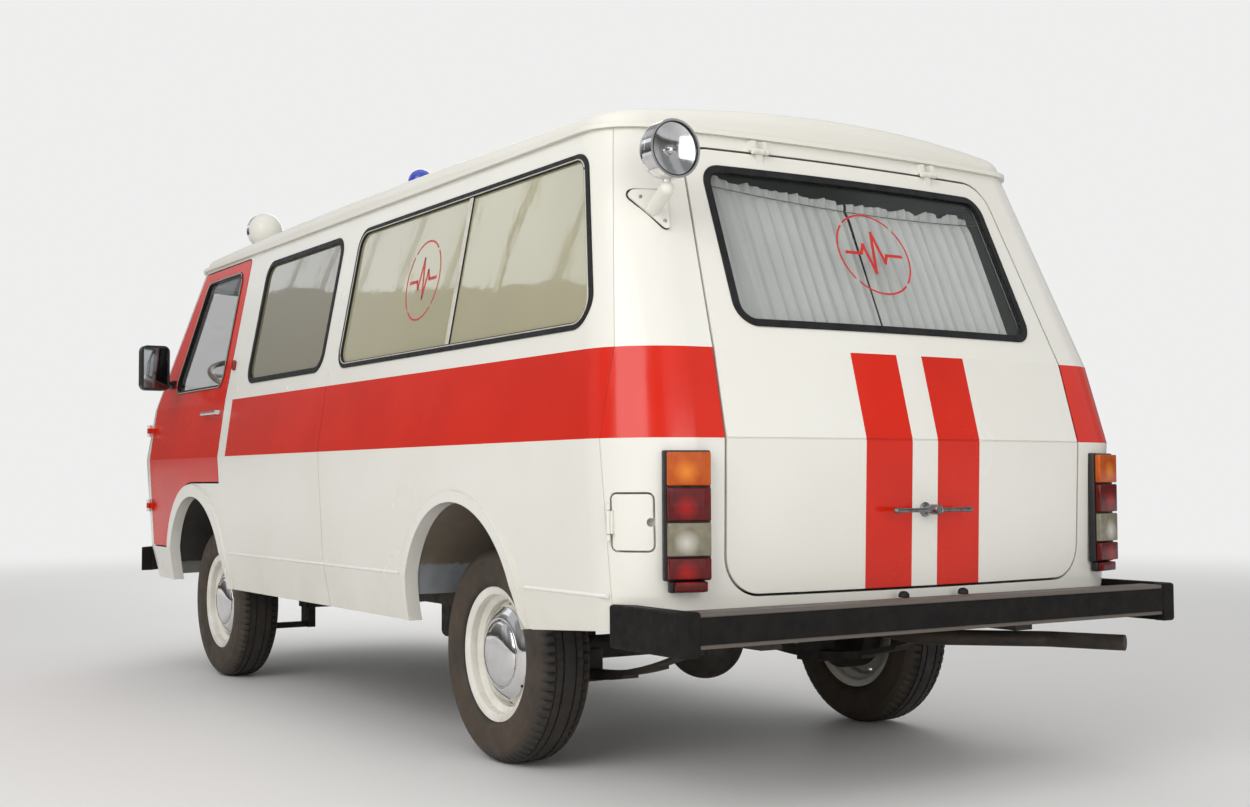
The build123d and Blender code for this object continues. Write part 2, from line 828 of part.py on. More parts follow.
def rear_spot_bracket():
    # a three-cornered plate on the body's corner, with a horn that holds the lamp from below
    x, y, z, way = spotlights[0]
    corners = [Pos(cy, cz) * Circle(r) for cy, cz, r in spot_plate]
    outline = Plane.YZ * make_hull([edge for corner in corners for edge in corner.edges()])
    plate = Pos(-2250, 0, 0) * extrude(outline, amount=200, dir=(1, 0, 0))
    plate &= body_block(-spot_plate_thickness, 30)
    root = (-2100, spot_plate[0][0] - 30, 1608)
    elbow = (x + 45, y, z - spotlight_radius - 26)
    horn = rod(root, elbow, 20) + Pos(*elbow) * Sphere(20)
    neck = rod(elbow, (x + 45, y, z - spotlight_radius + 6), 12)
    return (plate + horn) - body_block(-seat_gap, 60) + neck


def roof_top(x, y, radius):
    # the highest point of the roof's skin under a round foot
    probe = (Pos(x, y, 1800) * Cylinder(radius, 600)) & crown(0)
    return probe.bounding_box().max.Z


def roof_spot_foot():
    x, y, z, way = spotlights[1]
    top = roof_top(x - 60, y, 30)
    post = rod((x - 60, y, top), (x - 60, y, z - spotlight_radius * 0.6), 10)
    plate = Pos(x - 60, y, top - 4) * Cylinder(30, 20)
    return (post + plate) - crown(-seat_gap)


def beacon_base():
    top = roof_top(beacon_x, beacon_y, beacon_radius + 8)
    foot = Pos(beacon_x, beacon_y, top - 20) * Cylinder(
        beacon_radius + 8, beacon_base_height + 20, align=(Align.CENTER, Align.CENTER, Align.MIN))
    return foot - crown(-seat_gap)


def beacon_dome():
    top = roof_top(beacon_x, beacon_y, beacon_radius + 8) + seat_gap + beacon_base_height
    r = beacon_radius
    h = beacon_height
    profile = make_face([
        Line((0, 0), (r, 0)), Line((r, 0), (r - 5, h - 45)),
        cap_arc(r - 5, h - 45, 45), Line((0, h), (0, 0)),
    ])
    return Pos(beacon_x, beacon_y, top) * revolve(Plane.XZ * profile, Axis.Z)


# Handles and mirrors
def door_handle(x, z, side, length):
    # a pull bar on two feet
    out = skin_y(z)
    bar = rod((x - length / 2, out + 26, z), (x + length / 2, out + 26, z), 9)
    for s in (-1, 1):
        bar += slab(x + s * (length / 2 - 24) - 14, x + s * (length / 2 - 24) + 14, out - 20, out + 26, z - 9, z + 9)
    bar -= body_block(-seat_gap, 60)
    return bar if side > 0 else mirrored(bar)


def hatch_handle():
    z = 785
    skin = body_at(z)[1]
    bar = rod((skin - 34, -152, z), (skin - 34, 152, z), 9)
    foot = rod((skin - 34, 0, z), (skin + 40, 0, z), 26)
    return (bar + foot) - body_block(-seat_gap, 60)


mirror_x = 1560
mirror_y = 1055
mirror_z = 1396
mirror_tall = 206
mirror_wide = 130
mirror_foot = (1780, 905, 1335)


def mirror_left():
    case = Pos(mirror_x, mirror_y, mirror_z) * Rot(0, 90, 0) * extrude(
        RectangleRounded(mirror_tall, mirror_wide, 28), amount=22, both=True)
    x, y, z = mirror_foot
    arm = rod(mirror_foot, (mirror_x + 5, mirror_y - 40, mirror_z - 50), 8)
    foot = slab(x - 32, x + 32, y - 45, y + 12, z - 18, z + 18)
    arm = (arm + foot) - body_block(-seat_gap, 60)
    return case + arm


# Floor, frame and running gear
def house_block(x, inner_y, clearance=0):
    block = arch_hole(x, arch_radius + 5 + house_wall + clearance)
    return block & slab(x - 600, x + 600, inner_y - clearance, 1400, floor_z - 2 * clearance, 1200)


def wheel_house(x, inner_y):
    inner = arch_hole(x, arch_radius + 5) & slab(x - 600, x + 600, inner_y + house_wall, 1400, 0, 1200)
    return (house_block(x, inner_y) - inner) & body_block(wall + seat_gap, 60)


def wheel_houses():
    houses = [wheel_house(rear_axle_x, rear_house_inner_y), wheel_house(front_axle_x, front_house_inner_y)]
    return houses + [mirrored(house) for house in houses]


def floor():
    plate = extrude(plan_face(floor_z, floor_inset), amount=floor_thickness)
    plate &= slab(-2600, 2180, -1200, 1200, 0, 1000)
    for x, inner_y in ((rear_axle_x, rear_house_inner_y), (front_axle_x, front_house_inner_y)):
        room = house_block(x, inner_y, seat_gap)
        plate = plate - room - mirrored(room)
    # the engine stands in an opening under its cover
    plate -= slab(1250, 2000, -engine_half_width - 20, engine_half_width + 20, 0, 700)
    # the boards that the stretcher rolls on
    top = floor_z + floor_thickness
    plate += slab(deck[0], deck[1], -deck[2], deck[2], top - 1, top + deck_thickness)
    return plate


def chassis_frame():
    parts = []
    rail_top = floor_z
    rail = slab(rail_rear_x, rail_front_x, rail_y - rail_width / 2, rail_y + rail_width / 2, rail_top - rail_height, rail_top)
    # the rail steps in between the steered wheels
    front_inner = front_house_inner_y - 10
    rail -= slab(front_axle_x - 420, front_axle_x + 420, front_inner, 700, 0, 700)
    inner = slab(front_axle_x - 470, front_axle_x + 470, front_inner - 60, front_inner, rail_top - rail_height, rail_top)
    rail += inner
    for x, y in jack_points:
        rail += slab(
            x - jack_pad / 2, x + jack_pad / 2, y - jack_pad / 2, y + jack_pad / 2,
            rail_top - rail_height - jack_pad_thickness, rail_top - rail_height + 1)
    parts += [rail, mirrored(rail)]
    for x in (-2200, -600, 300, 2080):
        parts.append(slab(x - 35, x + 35, -rail_y, rail_y, rail_top - 70, rail_top - 4))
    frame = parts[0]
    for part in parts[1:]:
        frame += part
    # cross beam and wishbones that carry the kingpins
    beam = slab(front_axle_x - 60, front_axle_x + 60, -420, 420, 290, 360)
    for side in (-1, 1):
        beam += slab(front_axle_x - 50, front_axle_x + 50, side * 400 - 25, side * 400 + 25, 290, rail_top - 20)
    frame += beam
    for side in (1, -1):
        for z0, z1 in ((198, 222), (448, 472)):
            arm = slab(front_axle_x - 20, front_axle_x + 20, 400, kingpin_y, z0, z1)
            arm += Pos(front_axle_x, kingpin_y, (z0 + z1) / 2) * Cylinder(22, z1 - z0)
            foot = slab(front_axle_x - 45, front_axle_x + 45, 380, 415, min(z0, 300), max(z1, 330))
            arm += foot
            arm -= Pos(front_axle_x, kingpin_y, (z0 + z1) / 2) * Cylinder(kingpin_radius + spin_gap, 200)
            frame += arm if side > 0 else mirrored(arm)
    # the towing eye hangs from the left rail
    x, y, z = tow_eye
    eye = slab(2110, x, y - 6, y + 6, z - 28, 470) + Pos(x, y, z) * Rot(90, 0, 0) * Cylinder(28, 12)
    return frame + eye - Pos(x, y, z) * Rot(90, 0, 0) * Cylinder(tow_eye_radius, 40)


def fuel_tank():
    tank = Pos(-380, 220, 430 - seat_gap - 82) * Box(560, 360, 164)
    return fillet(tank.edges().filter_by(Axis.X), 30)


leaf_thickness = 9
spring_half = 620
spring_axle_z = 270
spring_eye_z = 385


def leaf_pack():
    # three leaves, each an arc, with an eye at both ends of the top one
    rise = spring_eye_z - spring_axle_z
    bend = (spring_half ** 2 + rise ** 2) / (2 * rise)
    pack = None
    for count, share in enumerate((1.0, 0.72, 0.45)):
        out = bend + count * leaf_thickness
        half = spring_half * share
        top_z = spring_axle_z + bend

        def at(radius, reach):
            return (rear_axle_x + reach, 0, top_z - sqrt(radius ** 2 - reach ** 2))

        low = out + leaf_thickness
        face = make_face([
            ThreePointArc(at(out, -half), at(out, 0), at(out, half)),
            Line(at(out, half), at(low, half)),
            ThreePointArc(at(low, half), at(low, 0), at(low, -half)),
            Line(at(low, -half), at(out, -half)),
        ])
        leaf = extrude(face, amount=30, dir=(0, 1, 0)) + extrude(face, amount=30, dir=(0, -1, 0))
        pack = leaf if pack is None else pack + leaf
    for s in (-1, 1):
        pack += Pos(rear_axle_x + s * spring_half, 0, spring_eye_z) * Rot(90, 0, 0) * Cylinder(17, 60)
    return pack


def rear_axle():
    tube = rod((rear_axle_x, -600, tyre_radius), (rear_axle_x, 600, tyre_radius), 38)
    tube += Pos(rear_axle_x, 0, tyre_radius) * Sphere(132)
    tube += rod((rear_axle_x, 0, tyre_radius), (rear_axle_x + 230, 0, tyre_radius), 50)
    hub_end = rear_track / 2 + 30
    for side in (-1, 1):
        tube += rod((rear_axle_x, side * 590, tyre_radius), (rear_axle_x, side * 672, tyre_radius), 136)
        tube += rod((rear_axle_x, side * 590, tyre_radius), (rear_axle_x, side * hub_end, tyre_radius), stub_radius)
        pack = Pos(0, side * rail_y, 0) * leaf_pack()
        tube += pack
        low = spring_axle_z - 3 * leaf_thickness
        tube += slab(rear_axle_x - 55, rear_axle_x + 55, side * rail_y - 40, side * rail_y + 40, low - 10, tyre_radius)
        # front bracket and rear shackle up to the rail
        for s in (-1, 1):
            x = rear_axle_x + s * spring_half
            for y in (side * rail_y - 35, side * rail_y + 35):
                tube += slab(x - 22, x + 22, y - 5, y + 5, spring_eye_z - 20, floor_z - rail_height)
            tube += rod((x, side * rail_y - 35, spring_eye_z), (x, side * rail_y + 35, spring_eye_z), 8)
    return tube


def propshaft():
    start = (rear_axle_x + 230 + 1.4, 0, tyre_radius)
    end = (gearbox_rear_x - 1.4, 0, gearbox_z)
    return rod(start, end, 34)


def exhaust():
    # from the engine's right side by the silencer, over the axle and out under the bumper
    silencer = Pos(0, -330, 348) * Rot(0, 90, 0) * Cylinder(76, 560)
    hanger = slab(266, 280, -340, -320, 400, 430 - seat_gap)
    front = rod((270, -330, 348), (1130, -330, 372), 24) + Pos(1130, -330, 372) * Sphere(24)
    down = rod((1130, -330, 372), (1310, -190, 425), 24)
    down &= slab(1000, 1400, -400, -engine_half_width - seat_gap, 300, 500)
    path = FilletPolyline(
        (-270, -330, 348), (-760, -330, 348), (-1000, -330, 403), (-1560, -330, 403),
        (-1980, -330, 378), (-2230, -640, 374), (-2440, -740, 374), radius=70)
    tail = sweep(Plane(path @ 0, z_dir=path % 0) * Circle(24), path=path)
    return silencer + hanger + front + down + tail


def knuckle(side):
    # an upright with its kingpin ends, brake drum and stub
    x = front_axle_x
    y = kingpin_y
    z = tyre_radius
    body = Pos(x, y, z) * Cylinder(26, 2 * 112)
    body += Pos(x, y, z) * Cylinder(kingpin_radius, 2 * 136)
    body += rod((x, y, z), (x, front_track / 2 + 30, z), stub_radius)
    body += rod((x, y + 28, z), (x, y + 64, z), 136)
    return body if side > 0 else mirrored(body)


def wheel_profile(points):
    return make_face(Polyline(*[(r, 0, y) for r, y in points], close=True))


def tyre(x, track, side):
    # columns: radius, distance from the wheel's middle plane
    half = tyre_width / 2
    outside = [
        (bead_radius, 58), (rim_flange_radius + 0.4, 65), (rim_flange_radius + 1, 76), (bead_radius + 38, 89),
        (tyre_radius - 66, half), (tyre_radius - 26, half - 9), (tyre_radius - 5, half - 26),
        (tyre_radius, half - 48),
    ]
    inside = [(tyre_radius - 26, 52), (tyre_radius - 60, 72), (bead_radius + 32, 66), (bead_radius, 44)]
    outline = outside + [(r, -y) for r, y in reversed(outside)]
    outline += [(r, -y) for r, y in reversed(inside)] + inside
    ring = revolve(wheel_profile(outline), Axis.Z)
    return Pos(x, side * track / 2, tyre_radius) * Rot(90, 0, 0) * ring


def rim(x, track, side):
    # pressed disc in a drop centre rim; positive distances point out of the vehicle
    half = rim_width / 2
    seat = bead_radius - 0.4
    barrel = [
        (rim_flange_radius, half), (rim_flange_radius, half - 5), (seat, half - 12), (seat, half - 34),
        (seat - 20, half - 46), (seat - 20, 46 - half), (seat, 34 - half), (seat, 12 - half),
        (rim_flange_radius, 5 - half), (rim_flange_radius, -half), (seat - 6, 2 - half),
        (seat - 6, 36 - half), (seat - 25, 48 - half), (seat - 25, half - 48), (seat - 6, half - 36),
        (seat - 6, half - 2),
    ]
    disc = [
        (seat - 24, 10), (150, 20), (132, 34), (98, 34), (86, 22), (stub_radius + spin_gap, 22),
        (stub_radius + spin_gap, 14), (88, 14), (100, 26), (130, 26), (148, 12), (seat - 24, 2),
    ]
    shape = revolve(wheel_profile(barrel), Axis.Z) + revolve(wheel_profile(disc), Axis.Z)
    slots = 8
    for count in range(slots):
        shape -= Rot(0, 0, count * 360 / slots) * Pos(149, 0, 15) * Box(12, 34, 60)
    turn = Rot(-90, 0, 0) if side > 0 else Rot(90, 0, 0)
    return Pos(x, side * track / 2, tyre_radius) * turn * shape


def hubcap(x, track, side):
    # a stepped chrome dome that clips on the raised ring of the disc
    start = 34 + seat_gap
    brim = wheel_profile([
        (98, start), (cap_radius, start), (cap_radius - 2, start + 7), (cap_radius - 14, start + 13),
        (cap_dome_radius + 5, start + 21), (98, start + 21)])
    dome = make_face([
        Line((0, start + 12), (cap_dome_radius, start + 12)),
        Line((cap_dome_radius, start + 12), (cap_dome_radius, start + 25)),
        cap_arc(cap_dome_radius, start + 25, 17), Line((0, start + 42), (0, start + 12)),
    ])
    cap = revolve(brim, Axis.Z) + revolve(Plane.XZ * dome, Axis.Z)
    turn = Rot(-90, 0, 0) if side > 0 else Rot(90, 0, 0)
    return Pos(x, side * track / 2, tyre_radius) * turn * cap


# Cab and saloon
def engine():
    # one plain block with its gearbox, on the front cross beam
    block = slab(1262, 1980, -engine_half_width, engine_half_width, 360 + seat_gap, 850)
    return block + slab(gearbox_rear_x, 1270, -105, 105, 362, 480)


def engine_cover():
    outer = slab(1230, 2040, -260, 260, floor_z + floor_thickness + seat_gap, 900)
    outer = fillet(outer.edges().filter_by(Axis.X).sort_by(Axis.Z)[-2:], 50)
    return outer - slab(1244, 2026, -246, 246, floor_z - 10, 886)


def partition():
    x = 850
    plate = slab(x - 10, x + 10, -1000, 1000, floor_z + floor_thickness, 1830) & body_block(wall + 6, 30)
    window = extrude(Plane.YZ * Pos(0, 1480) * RectangleRounded(900, 380, 40), amount=4000, both=True)
    return plate - window


def seat(x, y, base_z):
    cushion = slab(x - 220, x + 240, y - 230, y + 230, base_z, base_z + 120)
    back = Pos(x - 250, y, base_z + 400) * Rot(0, -10, 0) * Box(110, 440, 620)
    shape = cushion + back
    return shape


def seats():
    front_base = arch_centre_z + arch_radius + 5 + house_wall + seat_gap
    return [
        seat(1330, 520, front_base + 10), seat(1330, -520, front_base + 10),
    ]


def seat_bases():
    top = arch_centre_z + arch_radius + 5 + house_wall
    return [slab(1130, 1560, side * 520 - 200, side * 520 + 200, top + seat_gap, top + 10) for side in (-1, 1)]


def dashboard():
    profile = Plane.XZ * make_face(Polyline((1960, 1010), (1960, 1130), (2060, 1190), (2215, 1200), (2215, 1100),
                                            (2080, 960), close=True))
    bar = extrude(profile, amount=1000, both=True)
    ends = body_block(wall + seat_gap, 60) & slab(door_front_x + 12, 2600, -1000, 1000, 600, 1600)
    return bar & (body_block(wall + 6, 60) + ends)


wheel_hub = (1770, 520, 1385)
wheel_tilt = 25


def steering_place():
    return Pos(*wheel_hub) * Rot(0, -wheel_tilt, 0)


def steering_wheel():
    ring = Torus(200, 13)
    hub = Cylinder(36, 34)
    for angle in (90, 210, 330):
        hub += Rot(0, 0, angle) * Pos(105, 0, 0) * Box(190, 22, 12)
    shaft_bore = Pos(0, 0, -40) * Cylinder(14 + spin_gap, 80)
    return steering_place() * ((ring + hub) - shaft_bore)


def steering_column():
    column = Pos(0, 0, -22) * Cylinder(24, 1200, align=(Align.CENTER, Align.CENTER, Align.MAX))
    pin = Pos(0, 0, -0.5) * Cylinder(14, 60, align=(Align.CENTER, Align.CENTER, Align.MAX))
    floor_top = floor_z + floor_thickness + seat_gap
    return (steering_place() * (column + pin)) & slab(1400, 2300, 300, 800, floor_top, 1500)


# Write every piece
os.makedirs("parts", exist_ok=True)

save("body_side_left", body_side_left())
save("body_side_right", body_side_right())
save("rear_frame", rear_frame())
save("front_panel", front_panel())
save("roof", roof())
save("floor", floor())
save("wheel_houses", *wheel_houses())
save("engine_cover", engine_cover())
save("chassis_frame", chassis_frame(), fuel_tank())
save("windscreen", window_glass(windscreen_face, through_end))
save("side_glass", window_glass(front_window_face, through_side), split_long_glass(), mirrored(split_long_glass()))
save(
    "window_rubbers", window_rubber(windscreen_face, through_end), window_rubber(front_window_face, through_side),
    long_window_rubber(), mirrored(long_window_rubber()))

door_left = front_door()
save("door_left", door_left)
save("door_right", mirrored(door_left))
door_glass = window_glass(door_window_face, through_side, door_rubber_width)
door_rubber = window_rubber(door_window_face, through_side, door_rubber_width)
save("door_left_glass", door_glass)
save("door_right_glass", mirrored(door_glass))
save("door_left_rubber", door_rubber)
save("door_right_rubber", mirrored(door_rubber))
save("door_left_handle", door_handle(1066, 1172, 1, 200))
save("door_right_handle", door_handle(1066, 1172, -1, 200))
save("mirror_left", mirror_left())
save("mirror_right", mirrored(mirror_left()))


def right_side(face):
    return through_side(face, -1)


save("side_door", side_door())
save("side_door_glass", window_glass(side_door_window_face, right_side))
save("side_door_rubber", window_rubber(side_door_window_face, right_side))
save("side_door_handle", door_handle(-70, 1172, -1, 200))

save("fuel_flap", fuel_flap())
save("hatch", hatch())
save("hatch_glass", window_glass(hatch_window_face, to_rear))
save("hatch_rubber", window_rubber(hatch_window_face, to_rear))
save("hatch_handle", hatch_handle())

save("grille", grille())
save("front_bumper", front_bumper())
save("rear_bumper", rear_bumper())
save("rear_lamp_housings", *rear_lamp_housings())
save("lenses_red", *rear_lamp_lenses("red"))
save("lenses_amber", *rear_lamp_lenses("amber"), indicator(1), indicator(-1))
save(
    "lamp_shells", spotlight(*spotlights[0]) + rear_spot_bracket(),
    spotlight(*spotlights[1]) + roof_spot_foot(), beacon_base())
lamp_places = [(x, y, z, spotlight_radius, way) for x, y, z, way in spotlights]
lamp_places += [(headlamp_x, side * headlamp_y, headlamp_z, headlamp_radius, 1) for side in (-1, 1)]
save("lamp_rims", *[lamp_rim(*place) for place in lamp_places])
save("lenses_clear", *rear_lamp_lenses("clear"), *[lamp_glass(*place) for place in lamp_places])
save("beacon_dome", beacon_dome())

save("rear_axle", rear_axle(), propshaft())
save("exhaust", exhaust())
save("engine", engine())
save("partition", partition())
save("seats", *seats(), *seat_bases())
save("dashboard", dashboard() + steering_column())
save("steering_wheel", steering_wheel())

for side, word in ((1, "left"), (-1, "right")):
    save(f"knuckle_{word}", knuckle(side))
    for x, track, end in ((front_axle_x, front_track, "front"), (rear_axle_x, rear_track, "rear")):
        save(f"tyre_{end}_{word}", tyre(x, track, side))
        save(f"wheel_{end}_{word}", rim(x, track, side), hubcap(x, track, side))
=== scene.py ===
import random
from math import atan2, cos, pi, radians, sin, sqrt

import bmesh
import bpy
from mathutils import Matrix, Vector


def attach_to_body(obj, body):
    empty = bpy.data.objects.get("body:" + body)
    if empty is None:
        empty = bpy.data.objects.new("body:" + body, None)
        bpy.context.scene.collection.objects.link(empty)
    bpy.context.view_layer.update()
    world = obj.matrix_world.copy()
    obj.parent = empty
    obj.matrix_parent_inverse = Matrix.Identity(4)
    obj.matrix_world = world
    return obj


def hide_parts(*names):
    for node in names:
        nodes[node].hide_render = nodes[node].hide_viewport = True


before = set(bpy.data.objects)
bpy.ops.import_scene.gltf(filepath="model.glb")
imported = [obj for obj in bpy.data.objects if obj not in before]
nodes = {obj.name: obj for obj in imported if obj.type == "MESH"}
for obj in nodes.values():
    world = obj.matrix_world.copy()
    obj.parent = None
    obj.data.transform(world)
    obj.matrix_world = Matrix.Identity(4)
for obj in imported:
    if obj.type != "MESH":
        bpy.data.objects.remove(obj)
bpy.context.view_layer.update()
random.seed(7)
bothSides = ((1, "left"), (-1, "right"))
print("frame loaded:", len(nodes), "nodes")

# the body's own lines, in metres, as in the part: height, half width, rear end, front end
bodyRows = [
    (0.415, 0.900, -2.350, 2.330), (0.570, 0.930, -2.360, 2.392), (0.980, 0.955, -2.374, 2.420),
    (1.222, 0.922, -2.310, 2.372), (1.860, 0.800, -2.030, 1.890),
]
rearBow = 6.0    # radius of the tail's bow, seen from above
frontBow = 2.4   # and of the nose's


def bodyRow(z):
    low, high = bodyRows[0], bodyRows[1]
    for low, high in zip(bodyRows, bodyRows[1:]):
        if z <= high[0]:
            break
    share = (z - low[0]) / (high[0] - low[0])
    return [a + (b - a) * share for a, b in zip(low[1:], high[1:])]


def sidePoint(x, z, depth, side=1):   # a point on the side wall, depth under its skin
    return Vector((x, side * (bodyRow(z)[0] - depth), z))


def rearPoint(y, z, depth):
    bow = rearBow - depth
    return Vector((bodyRow(z)[1] + depth + bow - sqrt(bow * bow - y * y), y, z))


def frontPoint(y, z, depth):
    bow = frontBow - depth
    return Vector((bodyRow(z)[2] - depth - bow + sqrt(bow * bow - y * y), y, z))


def link(tree, source, target):
    tree.links.new(source, target)
    return target


def mathNode(tree, operation, first, second=None):
    node = tree.nodes.new("ShaderNodeMath")
    node.operation = operation
    for socket, value in zip(node.inputs, (first, second)):
        if value is None:
            continue
        if isinstance(value, (int, float)):
            socket.default_value = value
        else:
            tree.links.new(value, socket)
    return node.outputs[0]


def noiseNode(tree, coords, scale, detail=4):
    noise = tree.nodes.new("ShaderNodeTexNoise")
    noise.inputs["Scale"].default_value = scale
    noise.inputs["Detail"].default_value = detail
    link(tree, coords, noise.inputs["Vector"])
    return noise.outputs[0]


def remap(tree, value, fromLow, fromHigh, toLow=0.0, toHigh=1.0):
    node = tree.nodes.new("ShaderNodeMapRange")
    limits = {"From Min": fromLow, "From Max": fromHigh, "To Min": toLow, "To Max": toHigh}
    for name, number in limits.items():
        node.inputs[name].default_value = number
    link(tree, value, node.inputs["Value"])
    return node.outputs[0]


def mixColor(tree, factor, first, second):
    node = tree.nodes.new("ShaderNodeMix")
    node.data_type = "RGBA"
    link(tree, factor, node.inputs[0])
    for index, value in ((6, first), (7, second)):
        if isinstance(value, (tuple, list)):
            node.inputs[index].default_value = (*value[:3], 1)
        else:
            link(tree, value, node.inputs[index])
    return node.outputs[2]


def axes(tree, coords):
    split = tree.nodes.new("ShaderNodeSeparateXYZ")
    link(tree, coords, split.inputs[0])
    return split.outputs


def inside(tree, value, low, high):   # 1 where low < value < high
    above = mathNode(tree, "GREATER_THAN", value, low)
    return mathNode(tree, "MULTIPLY", above, mathNode(tree, "LESS_THAN", value, high))


ribDepth = 0.0006   # height of the moulded lines across a lens


def makeMaterial(name, spec, overlay=None):
    material = bpy.data.materials.new(name)
    material.use_nodes = True
    tree = material.node_tree
    shader = tree.nodes["Principled BSDF"]
    coords = tree.nodes.new("ShaderNodeTexCoord").outputs["Object"]
    grain = noiseNode(tree, coords, spec["grain"], 5)
    color = mixColor(tree, remap(tree, grain, 0.3, 0.72), spec["color"], spec["shade"])
    if overlay:
        color = overlay(tree, coords, color)
    link(tree, color, shader.inputs["Base Color"])
    low, high = spec["rough"]
    link(tree, remap(tree, noiseNode(tree, coords, spec["grain"] * 2.3, 3), 0.3, 0.7, low, high),
         shader.inputs["Roughness"])
    for socket, key in (("Metallic", "metallic"), ("Coat Weight", "coat"), ("Coat Roughness", "coatRough"),
                        ("Alpha", "alpha"), ("Sheen Weight", "sheen"), ("Specular IOR Level", "specular")):
        if key in spec:
            shader.inputs[socket].default_value = spec[key]
    height = None
    if "bump" in spec:
        scale, strength, distance = spec["bump"]
        height = noiseNode(tree, coords, scale, 3)
    if "ribs" in spec:   # moulded lines across a lens: axis, lines per metre, strength
        axis, count, strength = spec["ribs"]
        wave = mathNode(tree, "SINE", mathNode(tree, "MULTIPLY", axes(tree, coords)[axis], count * 2 * pi))
        height = wave
        distance = ribDepth
    if height is not None:
        bump = tree.nodes.new("ShaderNodeBump")
        bump.inputs["Strength"].default_value = strength
        bump.inputs["Distance"].default_value = distance
        link(tree, height, bump.inputs["Height"])
        if "edge" in spec:
            link(tree, edgeNormal(tree, spec["edge"]), bump.inputs["Normal"])
        link(tree, bump.outputs[0], shader.inputs["Normal"])
    elif "edge" in spec:
        link(tree, edgeNormal(tree, spec["edge"]), shader.inputs["Normal"])
    return material


def edgeNormal(tree, radius):   # rounds pressed edges a little
    bevel = tree.nodes.new("ShaderNodeBevel")
    bevel.samples = 4
    bevel.inputs["Radius"].default_value = radius
    return bevel.outputs[0]


paint = {
    "white": (0.73, 0.72, 0.665), "whiteShade": (0.69, 0.672, 0.605), "red": (0.62, 0.016, 0.002),
    "redShade": (0.54, 0.012, 0.0015), "dust": (0.50, 0.43, 0.33),
    "bandLow": 0.980, "bandHigh": 1.222, "bandFront": 0.85, "stripeInner": 0.048, "stripeOuter": 0.215,
    "dustLow": 0.36, "dustHigh": 0.62, "dustMost": 0.35,
}
outerSkin = {   # tells the painted skin from the inner one: the lean of the sides and of the hatch above the waist
    "waist": 0.98, "sideLean": 0.136, "side": 0.937, "tail": -2.13, "hatchLean": 0.2645, "hatch": -2.345,
}


def lowDust(tree, coords, color):   # a little road dust low on the body
    z = axes(tree, coords)[2]
    fall = remap(tree, z, paint["dustLow"], paint["dustHigh"], 1, 0)
    cloud = remap(tree, noiseNode(tree, coords, 7, 6), 0.35, 0.8, 0, paint["dustMost"])
    return mixColor(tree, mathNode(tree, "MULTIPLY", fall, cloud), color, paint["dust"])


def redSpot(tree, coords):
    return mixColor(tree, remap(tree, noiseNode(tree, coords, 3, 4), 0.3, 0.7), paint["red"], paint["redShade"])


def sideBand(tree, coords, color):   # the red band along both sides and round the rear corners
    x, y, z = axes(tree, coords)
    band = mathNode(tree, "MULTIPLY", inside(tree, z, paint["bandLow"], paint["bandHigh"]),
                    mathNode(tree, "LESS_THAN", x, paint["bandFront"]))
    lean = mathNode(tree, "MULTIPLY", mathNode(tree, "SUBTRACT", z, outerSkin["waist"]), outerSkin["sideLean"])
    spread = mathNode(tree, "ADD", mathNode(tree, "ABSOLUTE", y), lean)
    outer = mathNode(tree, "GREATER_THAN", spread, outerSkin["side"])
    skin = mathNode(tree, "MAXIMUM", outer, mathNode(tree, "LESS_THAN", x, outerSkin["tail"]))
    color = lowDust(tree, coords, color)
    return mixColor(tree, mathNode(tree, "MULTIPLY", band, skin), color, redSpot(tree, coords))


def hatchStripes(tree, coords, color):   # two upright stripes below the rear window
    x, y, z = axes(tree, coords)
    across = mathNode(tree, "ABSOLUTE", y)
    stripe = mathNode(tree, "MULTIPLY", inside(tree, across, paint["stripeInner"], paint["stripeOuter"]),
                      mathNode(tree, "LESS_THAN", z, paint["bandHigh"]))
    above = mathNode(tree, "MAXIMUM", mathNode(tree, "SUBTRACT", z, outerSkin["waist"]), 0.0)
    slope = mathNode(tree, "MULTIPLY", above, outerSkin["hatchLean"])
    skin = mathNode(tree, "LESS_THAN", mathNode(tree, "SUBTRACT", x, slope), outerSkin["hatch"])
    return mixColor(tree, mathNode(tree, "MULTIPLY", stripe, skin), color, redSpot(tree, coords))


archLook = {   # height and wave of the underseal's edge, its colour, the grime's, and the painted shade of the front arches
    "edge": (0.605, 0.612), "wave": 0.02, "underseal": (0.27, 0.29, 0.31), "grime": (0.09, 0.072, 0.05),
    "front": (0.030, 0.026, 0.022), "frontShadeFrom": 0.5,
}


def archCoat(tree, coords, color):   # grey-blue underseal low in the wheel houses, grime above, and painted shade that darkens the front arches
    z = axes(tree, coords)[2]
    wave = mathNode(tree, "MULTIPLY", noiseNode(tree, coords, 60, 4), archLook["wave"])
    low = remap(tree, mathNode(tree, "ADD", z, wave), *archLook["edge"], 1, 0)
    color = mixColor(tree, low, color, archLook["underseal"])
    grime = remap(tree, noiseNode(tree, coords, 5, 6), 0.45, 0.8, 0, 0.6)
    color = mixColor(tree, grime, color, archLook["grime"])
    # painted shade: forward of this line the wheel-house colour becomes near-black
    front = mathNode(tree, "GREATER_THAN", axes(tree, coords)[0], archLook["frontShadeFrom"])
    return mixColor(tree, front, color, archLook["front"])


def span(tree, first, second):   # the length of a flat vector
    square = mathNode(tree, "MULTIPLY", first, first)
    return mathNode(tree, "SQRT", mathNode(tree, "ADD", square, mathNode(tree, "MULTIPLY", second, second)))


lensSpots = {   # heights of the bulbs behind the lenses, their place across, and how far each painted reflector spot reaches
    "red": (0.633, 0.800), "amber": (0.891,), "clear": (0.7095,), "across": 0.800, "reach": (0.004, 0.036),
}


